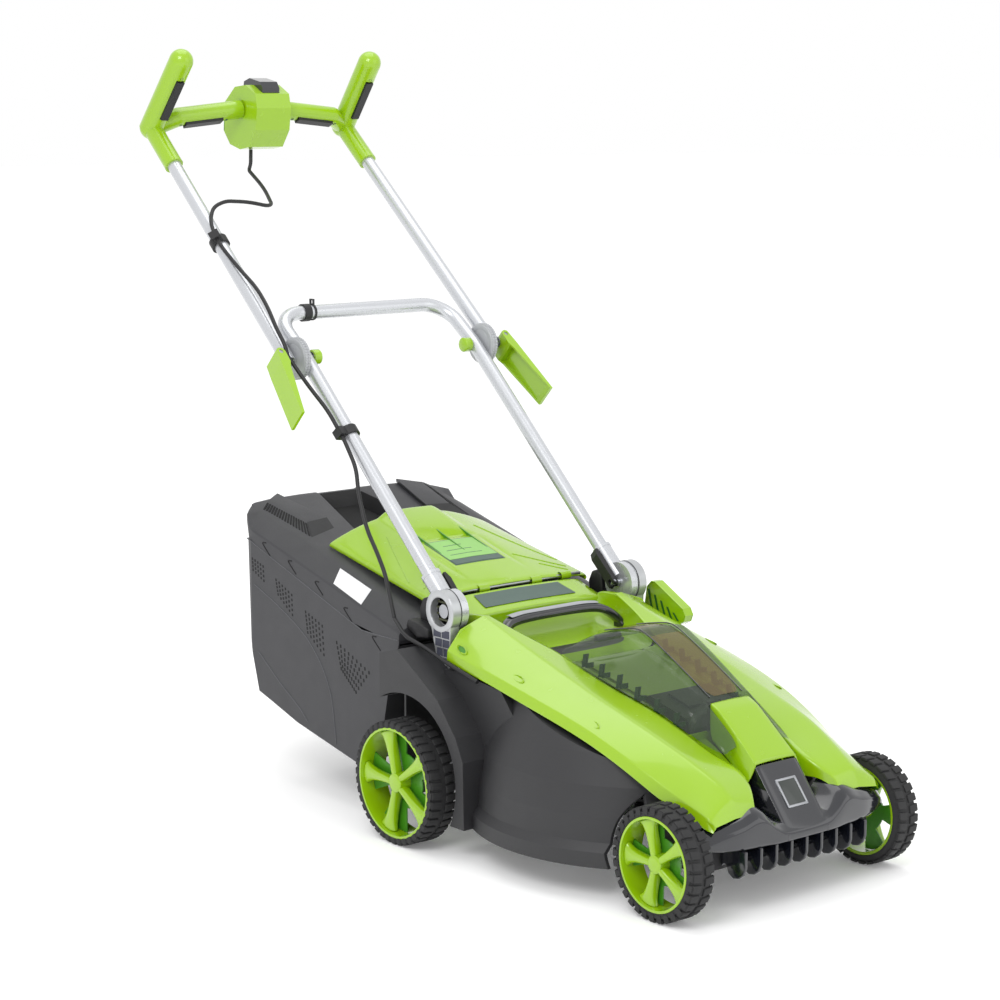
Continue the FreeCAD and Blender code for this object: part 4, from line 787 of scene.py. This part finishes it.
def make_lid():
    rows = []
    for y, base, mid, top, centre in LID_ROWS:
        half = [base, mid, top, (30, (top[1] * 0.4 + centre * 0.6))]
        row = [(-x, y, z) for x, z in half] + [(0, y, centre)] + [(x, y, z) for x, z in reversed(half)]
        rows.append(row)
    lines = [(1, 0.75), (2, 0.8), (6, 0.8), (7, 0.75)]
    skin(
        "lid_shell", rows, *CLEAR_LID, crease_columns=lines,
        creases=[(rows[0], 1), (rows[4], 0.45), (rows[-2], 0.6), (rows[-1], 1)], levels=2,
        stands_for=("battery_lid",)
    )
    # front wall and the two prongs
    wall = [(-396, 240), (-396, 206), (-393.4, 206), (-393.4, 240)]
    slab("lid_front", wall, -38, 38, *CLEAR_LID)
    for side in BOTH:
        steps = (
            (-389, (69.6, 208), (62.7, 229), (40.7, 249)), (-404, (68.4, 203), (61.5, 221), (40.6, 238.5)),
            (-420, (67, 197.5), (60.5, 212), (40.6, 227)), (-436, (65, 193), (59.5, 202.5), (40.6, 215)),
            (-448, (62, 190.5), (57, 196.5), (40.6, 205)), (-452, (60, 190), (55, 193), (41, 197))
        )
        rows = []
        for y, base, mid, top in steps:
            rows.append(
                [
                    (side * base[0], y, base[1]), (side * mid[0], y, mid[1]), (side * top[0], y, top[1]),
                    (side * 40.3, y, top[1] - 2)
                ]
            )
        skin("lid_prong", rows, *CLEAR_LID, crease_columns=[(1, 0.75), (2, 0.8)], levels=2)
        # green bed under the prong
        rows = []
        for y, x0, x1, z in (
            (-384, 36, 70, 198), (-404, 37.5, 69, 190), (-424, 39, 66.5, 181), (-444, 41, 64, 171),
            (-464, 45, 60, 160), (-484, 55, 58, 149)
        ):
            rows.append([(side * x0, y, z), (side * (x0 + x1) / 2, y, z - 1.5), (side * x1, y, z)])
        skin("prong_bed", rows, *HOOD, levels=1)
    # brown window with a dark line along each side
    rows = []
    edge = []
    for y, base, mid, top, centre in LID_ROWS[2:-1]:
        z = top[1] * 0.42 + centre * 0.58
        rows.append([(x, y, z + 0.9 + 1.1 * (1 - abs(x) / 30)) for x in (-29, -15, 0, 15, 29)])
        edge.append((y, z))
    skin("lid_window", rows, WINDOW, "battery_lid", "lid", levels=1)
    for side in BOTH:
        tube(
            "lid_window_edge", [(side * 30, y, z + 1.0) for y, z in edge], 0.9, GLOSS, "battery_lid",
            "lid", around=8, steps=3
        )
    # finger tab at the rear
    tab = [(-160, 289), (-156, 293), (-150, 292), (-147, 287), (-150, 283), (-158, 284)]
    slab("lid_tab", tab, -22, 22, GLOSS, "battery_lid", "lid", bevel=0.9)
    # green ledges of the bay around the pack
    for side in BOTH:
        rows = []
        for y, x, z in (
            (-162, 83, 265), (-181, 84, 262), (-254, 82, 246), (-290, 80, 237), (-340, 74, 222),
            (-390, 67, 202)
        ):
            rows.append(
                [
                    (side * x, y, z + 3), (side * (x - 3), y, z), (side * 61, y, z - 1),
                    (side * 59.5, y, z - 26)
                ]
            )
        skin("bay_ledge", rows, *HOOD, crease_columns=[(1, 0.6), (2, 0.8)], levels=1)
    rows = [
        [(x, y, z - (2 if abs(x) < 60 else 0)) for x in (-60, -30, 0, 30, 60)]
        for y, z in ((-160, 265), (-200, 257), (-254, 245), (-288, 236))
    ]
    skin("bay_floor", rows, *HOOD, levels=1)
    # ribs and feet seen through the side
    ribs = []
    for side in BOTH:
        for y, x, z in (
            (-192, 76, 268), (-226, 76, 260), (-260, 74, 251), (-294, 72, 240), (-328, 68, 229),
            (-362, 64, 216)
        ):
            ribs.append(brick((side * x, y, z + 4), (2.5, 0, 0), (0, 3.2, -0.8), (side * -1.5, 0, 9)))
            ribs.append(brick((side * x, y - 9, z - 1), (2.5, 0, 0), (0, 6, -1.6), (0, 0, 3.5)))
    boxes("lid_ribs", ribs, LID_RIB, "battery_lid", "lid")


# ---- rear flap
def flap_top(x, y):
    """Height of the flap's skin."""
    x = abs(x)
    t = (y - FLAP_FRONT) / FLAP_LENGTH
    flat = 334.5 + 69.5 * t
    side = 328 + 49 * t
    if x > 61:
        u = (x - 61) / 88
        return flat + (side - flat) * (u * 0.55 + 0.45 * u * u)
    z = flat + 1.2 * (1 - x / 61)
    if y > HUMP_START:
        u = min((y - HUMP_START) / 72, 1)
        w = 1 if x < 44 else max((61 - x) / 17, 0)
        z += w * (9.5 * math.sin(u * math.pi / 2) - 2.5 * math.exp(-(((y - 216) / 9) ** 2)))
    return z


def make_flap():
    levels = (FLAP_FRONT, 63, 70, 100, 130, 165, 200, 212, 215, 225, 240, 260, 280, 296, 304, 306)
    half = (149.5, 140, 120, 100, 80, 66, 61, 56, 50, 44, 34, 22)
    xs = [-x for x in half] + [0] + list(reversed(half))
    rows = []
    for y in levels:
        row = []
        for x in xs:
            z = flap_top(x, y)
            if y < 62:
                z -= 2.2
            if y > 305:
                z -= 2.5
            if abs(abs(x) - 61) < 1 and 105 < y < 205:
                z -= 2.4
            row.append((x, y, z))
        skirt = 318 + 51 * (y - FLAP_FRONT) / FLAP_LENGTH
        row = [
            (-150, y, skirt), (-150, y, row[0][2] - 2.6)
        ] + row + [(150, y, row[-1][2] - 2.6), (150, y, skirt)]
        rows.append(row)
    n = len(rows[0])
    skin(
        "flap_skin", rows, *FLAP, crease_columns=[(1, 0.4), (n - 2, 0.4), (8, 0.35), (n - 9, 0.35)],
        creases=[(rows[7], 0.5), (rows[8], 0.5), (rows[0], 1), (rows[-1], 1)], levels=1, solid=2.4,
        stands_for=("rear_flap",)
    )
    # ribs under the flap, in deeper green as painted shade
    for x in (-132, -88, -44, 0, 44, 88, 132):
        rib = [
            (80, flap_top(x, 80) - 3), (300, flap_top(x, 300) - 3), (300, flap_top(x, 300) - 8),
            (80, flap_top(x, 80) - 8)
        ]
        slab("flap_rib", rib, x - 1, x + 1, GREEN_SHADE_AND_SEAM, "rear_flap", "green")

    def patch(name, x0, x1, y0, y1, lift, look, thick=0.4):
        rows = []
        for k in range(5):
            y = y0 + (y1 - y0) * k / 4
            rows.append(
                [(x0 + (x1 - x0) * c / 6, y, flap_top(x0 + (x1 - x0) * c / 6, y) + lift) for c in range(7)]
            )
        skin(name, rows, look, "rear_flap", "green", solid=thick)

    patch("flap_label_rim", -47.5, 47.5, 129, 206, 0.35, LABEL_DARK)
    patch("flap_label", -45.6, 45.6, 146, 204.2, 0.8, LABEL)
    patch("flap_label_strip", -45.6, 45.6, 131, 144.5, 0.8, LABEL_DARK)
    for row in range(3):
        patch(
            "flap_label_mark", -34 + 4 * row, 26 - 9 * row, 158 + 14 * row, 159.2 + 14 * row, 1.0,
            LABEL_DARK, 0.2
        )
    # hinge knuckles
    for x in (-118, -60, 40, 98):
        rows = []
        for a in circle(20):
            rows.append(
                [
                    (x + d, FLAP_PIVOT[0] + 6 * math.cos(a), FLAP_PIVOT[1] + 6 * math.sin(a))
                    for d in (0.4, 19.6)
                ]
            )
        rows.append(rows[0])
        skin("flap_knuckle", rows, *FLAP)
    # pressed lines on both wings
    for side in BOTH:
        for start, end in (((142, 120), (84, 250)), ((136, 92), (70, 140)), ((128, 78), (92, 104))):
            line = []
            for k in range(7):
                x = start[0] + (end[0] - start[0]) * k / 6
                y = start[1] + (end[1] - start[1]) * k / 6
                line.append((side * x, y, flap_top(x, y) + 0.15))
            tube("flap_line", line, 0.8, *FLAP, around=8, steps=2)


# ---- grass box
def lid_plane(y):
    return 303.5 + 0.2655 * (y - 62)


def belt(y):
    return 273.6 if y <= 150 else 273.6 + (y - 150) * 96.4 / 300


def plan_limit(y):
    corner = ((436, BOX_HALF), (456, 198), (470, 185), (484, 170), (492, 120), (498, 60))
    if y <= corner[0][0]:
        return BOX_HALF
    for (y0, x0), (y1, x1) in zip(corner, corner[1:]):
        if y <= y1:
            return x0 + (x1 - x0) * (y - y0) / (y1 - y0)
    return 60


def make_box():
    levels = (62, 66, 110, 180, 250, 306, 336, 366, 400, 430, 445, 456, 470, 484, 490, 497)
    rows = []
    for y in levels:
        edge = plan_limit(y)
        hole = 64 - (y - 366) * 0.22
        top = lid_plane(y) - (1.5 if y in (62, 497) else 0)
        foot = max(belt(min(y, 452)), top - 200)
        if y > 452:
            foot = top - 14
        half = [
            (BOX_HALF, foot), (BOX_HALF, top - 20), (203, top - 17), (174, top - 2.0), (164, top),
            (148, top), (hole + 5, top), (hole, top - 1.5)
        ]
        half = [(min(x, edge - 0.05 * k), z) for k, (x, z) in enumerate(half)]
        if y > 452:
            half[1] = (half[1][0], top - 9)
            half[2] = (half[2][0], top - 4)
        rows.append([(-x, y, z) for x, z in half] + [(x, y, z) for x, z in reversed(half)])
    count = len(rows[0])
    points = [p for row in rows for p in row]
    faces = []
    for r in range(len(rows) - 1):
        for c in range(count - 1):
            if c == 7 and 330 < levels[r] < 486:
                continue
            faces.append((r * count + c, r * count + c + 1, (r + 1) * count + c + 1, (r + 1) * count + c))
    last = (len(rows) - 1) * count
    faces.append(tuple(range(last, last + count)))
    faces.append(tuple(range(count)))
    mesh(
        "box_lid", points, faces, BOX, "grass_box", "box", bevel=1.2, stands_for=("grass_box_lid",),
        angle=30
    )
    # handle hole: sloping walls in black and a near-black floor, both painted shade
    rim = []
    for y in (336, 366, 400, 430, 456, 484, 490):
        rim.append((64 - (y - 366) * 0.22, y))
    loop = [(-x, y) for x, y in rim] + [(x, y) for x, y in reversed(rim)]
    rows = []
    for lift, shrink_by in ((-1.4, 0), (-12, 2.5), (-26, 6)):
        rows.append(
            [(x * (1 - shrink_by / 70), min(y, 489 - shrink_by), lid_plane(y) + lift) for x, y in loop]
        )
    skin("box_hole", rows, BLACK, "grass_box", "box", closed=True, angle=40)
    mesh("box_hole_floor", rows[-1], [tuple(range(len(loop)))], *BOX_HOLE_SHADE)
    for side in BOTH:
        # shoulder block with its slatted outer slope
        low_ring = [(98, 366), (155, 345), (186, 452), (120, 496)]
        high_ring = [(97, 387), (139, 380), (150, 470), (116, 492)]
        bottom = [(side * x, y, lid_plane(y) - (1 if x < 164 else 12)) for x, y in low_ring]
        top = [(side * x, y, lid_plane(y) + 7.5) for x, y in high_ring]
        boxes(
            "box_shoulder", [[Vector(p) for p in bottom] + [Vector(p) for p in top]], BOX, "grass_box",
            "box", bevel=2.0
        )
        # near-black bricks as painted shade in the openings between the slats
        grille_shade = []
        for k in range(17):
            t = (k + 0.6) / 17.4
            a = Vector(bottom[1]).lerp(Vector(bottom[2]), t)
            b = Vector(top[1]).lerp(Vector(top[2]), t)
            along = (Vector(bottom[2]) - Vector(bottom[1])).normalized()
            up = (b - a) * 0.42
            out = along.cross(up).normalized() * (-side)
            if out.z < 0:
                out = -out
            grille_shade.append(brick((a + b) / 2 + out * 0.5 - up * 0.05, along * 1.5, up, out * 0.45))
        boxes("box_grille", grille_shade, *BOX_HOLE_SHADE)
        # painted shade: a thin black sheet over the shoulder block's front face
        front = [bottom[0], bottom[1], top[1], top[0]]
        out = (Vector(front[1]) - Vector(front[0])).cross(Vector(front[3]) - Vector(front[0])).normalized()
        if out.y > 0:
            out = -out
        shade = [tuple(Vector(p) + out * 0.5) for p in front]
        mesh("box_shade", shade, [(0, 1, 2, 3)], BLACK, "grass_box", "box", solid=0.3)
        # air slots in four slanted groups, drawn as near-black blocks of painted shade
        slots = []
        groups = (
            ((436, 343), (400, 334), (398, 304), (434, 321), 5, 4),
            ((374, 320), (324, 301), (323, 262), (367, 294), 6, 5),
            ((297, 283), (246, 267), (242, 214), (291, 248), 6, 6),
            ((220, 251), (126, 216), (168, 174), (204, 206), 9, 6)
        )
        for a, b, c, d, across, down in groups:
            for i in range(across):
                for j in range(down):
                    u = (i + 0.5) / across
                    v = (j + 0.5) / down
                    y = (a[0] * (1 - u) + b[0] * u) * (1 - v) + (d[0] * (1 - u) + c[0] * u) * v
                    z = (a[1] * (1 - u) + b[1] * u) * (1 - v) + (d[1] * (1 - u) + c[1] * u) * v
                    tall = min(abs(a[1] - d[1]), abs(b[1] - c[1])) / down * 0.36
                    slots.append(
                        brick((side * 204.9, y, z), (0.35, 0, 0), (0, 1.5, -0.2), (0, 0.4, max(tall, 1.9)))
                    )
        boxes("box_slots", slots, *BOX_HOLE_SHADE)
        # raised line under the lid, in lighter grey as painted highlight, and pressed hooks along it in
        # near-black as painted shade
        line = [(side * BOX_HALF, 64, 274.4)]
        line += [(side * BOX_HALF, y, belt(y) + 0.8) for y in (140, 160, 220, 300, 380, 446)]
        tube("box_belt_highlight", line, 0.9, *BOX_HIGHLIGHT_LINE, around=8, steps=2)
        for y, z in ((401, 378), (333, 354), (264, 328), (192, 300), (123, 269)):
            z = min(z, lid_plane(y) - 26)
            hook = [
                (side * 204.9, y - 7, z + 1.5), (side * 204.9, y + 2, z + 1), (side * 204.9, y, z - 3),
                (side * 204.9, y - 17, z - 17)
            ]
            tube("box_hook", hook, 1.0, *BOX_HOLE_SHADE, around=8, steps=4)
        # pressed creases on the side, drawn as lighter grey rods of painted highlight
        creases = (
            ((427, 300), (365, 277), (300, 246), (262, 215), (240, 185), (226, 150), (217, 90)),
            ((419, 196), (363, 158), (313, 129), (290, 110))
        )
        for crease in creases:
            line = [(side * 204.95, y, z) for y, z in crease]
            tube("box_crease_highlight", line, 0.9, *BOX_HIGHLIGHT_LINE, around=8, steps=4)
    # blank sticker on the right chamfer
    def chamfer(x, y):
        return (x, y, lid_plane(y) - 2.0 - (abs(x) - 174) * 15 / 29 + 0.5)

    corners = [chamfer(-201, 226), chamfer(-176, 243), chamfer(-176, 166), chamfer(-203, 155)]
    mesh("box_sticker", corners, [(0, 1, 2, 3)], STICKER, "grass_box", "box", solid=0.3)
    # edge lines along the foot of each side, in lighter grey as painted highlight
    for side in BOTH:
        foot = [
            (side * 204.6, 98, 151), (side * 204.6, 125, 100.6), (side * 204.6, 165, 73.6),
            (side * 204.6, 317, 104.6), (side * 204.6, 384, 124.6)
        ]
        edge_lines("box_edge_highlight", foot, 0.8, *BOX_HIGHLIGHT_LINE, steps=2)


# ---- handle hardware
def ring_on_x(name, y, z, profile, side, look, body, slot, count=64, **more):
    """A turned part about an axis along X; profile pairs are (|x|, radius)."""
    rows = []
    for a in circle(count):
        rows.append([(side * x, y + r * math.cos(a), z + r * math.sin(a)) for x, r in profile])
    rows.append(rows[0])
    return skin(name, rows, look, body, slot, **more)


def make_hardware():
    for side in BOTH:
        # bracket: bevelled ring lip, dark eye with bands, lattice on the leg
        lip = [(183.0, 31.1), (184.3, 30), (184.6, 28), (184.6, 24), (184.2, 22), (183, 20.9)]
        ring_on_x("bracket_lip", *BRACKET_PIVOT, lip, side, CAST, "base", "bracket")
        ring_on_x("bracket_eye", *BRACKET_PIVOT, [(172, 0.01), (172, 20.6)], side, BLACK, "base", "bracket")
        bands = []
        for z in (336, 328, 319, 311):
            half = math.sqrt(20.3**2 - (z - BRACKET_PIVOT[1]) ** 2)
            bands.append(
                brick((side * 173.5, BRACKET_PIVOT[0], z), (1.2, 0, 0), (0, half * 0.92, 0), (0, 0, 1.4))
            )
        boxes("bracket_bands", bands, OLIVE, "base", "bracket")
        # near-black band as painted shade in the gap beside the bracket ring
        ring_on_x(
            "bracket_gap", *BRACKET_PIVOT, [(167.9, 31.15), (169.6, 31.15)], side, HOLE_SHADE, "base", "bracket"
        )
        # lattice pockets as dark blocks of painted shade
        cells = []
        edge = []
        rows = ((299, 288), (286, 275), (273, 262), (260, 251))
        for top, foot in rows:
            wide0 = -26.5
            wide1 = 12 - (300 - foot) * 0.30
            mid = (wide0 + wide1) / 2
            for a, b in ((wide0, mid - 1.2), (mid + 1.2, wide1)):
                if foot < 255 and a > mid:
                    b = min(b, mid + 8)
                cells.append(
                    brick(
                        (side * 184.15, (a + b) / 2, (top + foot) / 2), (0.4, 0, 0), (0, (b - a) / 2, 0),
                        (0, 0, (top - foot) / 2)
                    )
                )
            edge.append(
                brick(
                    (side * 184.3, (wide0 + wide1) / 2, foot - 1), (0.5, 0, 0),
                    (0, (wide1 - wide0) / 2, 0), (0, 0, 0.9)
                )
            )
        boxes("bracket_cells", cells, CELL_SHADE, "base", "bracket")
        boxes("bracket_bars", edge, CAST, "base", "bracket", bevel=0.3)
        # black hinge cover between the bracket and the flap
        cover = [(27, 292), (56, 296), (59, 318), (52, 333), (40, 337), (29, 330)]
        slab("hinge_cover", cover, side * 151.5, side * 171, BLACK, "base", "deck", bevel=3.0)
        cover = [(16, 283), (40, 280), (66, 292), (62, 304), (30, 300), (16, 296)]
        slab("hinge_foot", cover, side * 152, side * 190, BLACK, "base", "deck", bevel=2.5)
        # green dome over the pivot's barrel nut
        dome = [(139.6, 11.2), (150.6, 11.4), (151.9, 10.6), (152.1, 8)]
        inner = [(152.1, 8), (139.0, 10.6), (137.6, 8), (137.2, 0.01)]
        ring_on_x(
            "pivot_dome", *DISC_PIVOT, list(reversed(inner))[:3] + dome, side, GREEN, "upper_handle",
            "green"
        )
        # toothed rims of the two discs
        teeth = []
        for a in circle(TEETH):
            out = Vector((0, math.cos(a), math.sin(a)))
            along = Vector((0, -math.sin(a), math.cos(a)))
            spot = Vector((side * 176.8, *DISC_PIVOT)) + out * 31.0
            teeth.append(brick(spot, (2.0, 0, 0), along * 1.15, out * 0.9))
        boxes("disc_teeth_lower", teeth, DISC, "lower_handle", "disc", bevel=0.3)
        teeth = [[p + Vector((side * 5.1, 0, 0)) for p in eight] for eight in teeth]
        boxes("disc_teeth_upper", teeth, DISC, "upper_handle", "disc", bevel=0.3)
        ring_on_x(
            "disc_face", *DISC_PIVOT, [(184.35, 30.2), (185.1, 29.2), (185.1, 24), (184.4, 22.6)], side,
            DISC, "upper_handle", "disc"
        )
        ring_on_x(
            "disc_face_in", *DISC_PIVOT, [(174.35, 30.2), (173.6, 29.2), (173.6, 24), (174.3, 22.6)], side,
            DISC, "lower_handle", "disc"
        )
        # collars where the tubes meet their sockets
        low = Vector((side * 163, *BRACKET_PIVOT))
        run = Vector((0, DISC_PIVOT[0] - BRACKET_PIVOT[0], DISC_PIVOT[1] - BRACKET_PIVOT[1])).normalized()
        spot = low + run * 62.3
        tube(
            "socket_collar", [tuple(spot - run * 3), tuple(spot), tuple(spot + run * 2.4)], 14.6, TUBE,
            "lower_handle", "tube", around=32, steps=2
        )


def make_paddle():
    """Slots and rim of the height lever's hand paddle; the slots are dark green blocks of painted shade."""
    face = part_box("height_lever")[1].x / MM
    outline = [
        (-22, 321), (-30, 321), (-90, 289.4), (-95.4, 280), (-91.6, 270.8), (-80, 264.8), (-24.6, 262.8),
        (-9, 286), (-12.8, 311.6)
    ]
    for x in (face + 0.1, face - 15.1):
        loop = [(x, y, z) for y, z in outline] + [(x, outline[0][0], outline[0][1])]
        edge_lines("paddle_rim", loop, 1.1, GREEN, "rear_axle", "green", steps=1)
    # slots in dark green as painted shade
    slots = []
    for step in range(5):
        y = -78 + 13.5 * step
        foot = 270
        top = 281 + 7 * step
        for x in (face + 0.15, face - 15.15):
            slots.append(
                brick((x, y + 3, (foot + top) / 2), (0.3, 0, 0), (0, 2.1, 0), (0, 5.0, (top - foot) / 2))
            )
    boxes("paddle_slots", slots, GREEN_DARK, "rear_axle", "green")


def make_controls():
    """Seam and plate of the switch box, and the screws of the grips."""
    slab(
        "box_seam", [(752.4, 984), (748.4, 1030), (747, 1030), (751, 984)], -33.3, 33.3, GREEN_SHADE_AND_SEAM,
        "upper_handle", "green"
    )
    plate = [brick((0, 752.5, 1008), (20, 0, 0), (0, 0.5, 0), (0, -1.2, 13))]
    boxes("box_plate", plate, STICKER, "upper_handle", "switch", bevel=0.4)
    for side in BOTH:
        corner = Vector((side * 187, 728, 990))
        tip = Vector((side * 182, 642, 1093))
        horn = (tip - corner).normalized()
        front = Vector((0, -horn.z, horn.y)).normalized()
        start = Vector((side * 34.8, 703, 1018))
        end = Vector((side * 150, 705, 1006.5))
        run = (end - start).normalized()
        under = Vector((0, -0.45, -0.89)).normalized()
        spots = [(corner + horn * t + front * 18.9, front) for t in (24, 114)]
        spots += [(start + run * t + under * 14.9, under) for t in (30, 116)]
        for spot, out in spots:
            wide = out.cross(Vector((1, 0, 0))).normalized()
            ring = []
            for lift, radius in ((0.05, 3.0), (0.5, 2.6), (0.2, 1.5)):
                turn = []
                for a in circle(16):
                    turn.append(
                        tuple(
                            spot + out * lift + Vector((math.cos(a) * radius, 0, 0))
                            + wide * math.sin(a) * radius
                        )
                    )
                ring.append(turn)
            skin("grip_screw", ring, GREEN_DARK, "upper_handle", "green", closed=True)
            # near-black well in each screw head as painted shade
            mesh("grip_screw_well", ring[-1], [tuple(range(16))], HOLE_SHADE, "upper_handle", "green")


for end in ("rear", "front"):
    for word in SIDES:
        wheel(end, word)
make_hood()
make_bumper()
make_carry_handle()
make_lid()
make_flap()
make_box()
make_hardware()
make_paddle()
make_controls()


# ---- floor, light and camera
def plain_floor():
    bpy.ops.mesh.primitive_plane_add(size=60, location=(0, 0, 0))
    floor = bpy.context.object
    floor.name = "floor"
    white = (1, 1, 1, 1)
    look = material(
        "floor", (0.93, 0.93, 0.93, 1), rough=0.8, wear=0.004, Emission_Color=white, Emission_Strength=0.12
    )
    floor.data.materials.append(look)


def area(name, where, aim, size, power):
    data = bpy.data.lights.new(name, "AREA")
    data.size = size
    data.energy = power
    lamp = bpy.data.objects.new(name, data)
    lamp.location = where
    lamp.rotation_euler = (Vector(aim) - Vector(where)).to_track_quat("-Z", "Y").to_euler()
    bpy.context.scene.collection.objects.link(lamp)


def studio():
    world = bpy.data.worlds.new("studio")
    bpy.context.scene.world = world
    world.use_nodes = True
    put(world.node_tree.nodes["Background"], Color=(1, 1, 1, 1), Strength=1.0)
    bpy.context.scene.view_settings.view_transform = "Standard"
    area("key", (-2.6, -1.6, 3.0), (0, 0, 0.3), 1.6, 55)
    area("fill", (1.5, -3.2, 1.8), (0, 0, 0.3), 2.5, 14)
    area("top", (0.2, 0.6, 3.4), (0, 0, 0.4), 2.4, 26)


def camera():
    data = bpy.data.cameras.new("camera")
    data.sensor_width = SENSOR
    data.lens = LENS
    cam = bpy.data.objects.new("camera", data)
    cam.location = P(*CAMERA_SPOT)
    yaw = math.radians(CAMERA_YAW)
    dip = math.radians(CAMERA_DIP)
    ahead = Vector((math.sin(yaw) * math.cos(dip), math.cos(yaw) * math.cos(dip), -math.sin(dip)))
    cam.rotation_euler = ahead.to_track_quat("-Z", "Y").to_euler()
    bpy.context.scene.collection.objects.link(cam)
    bpy.context.scene.camera = cam


plain_floor()
studio()
camera()
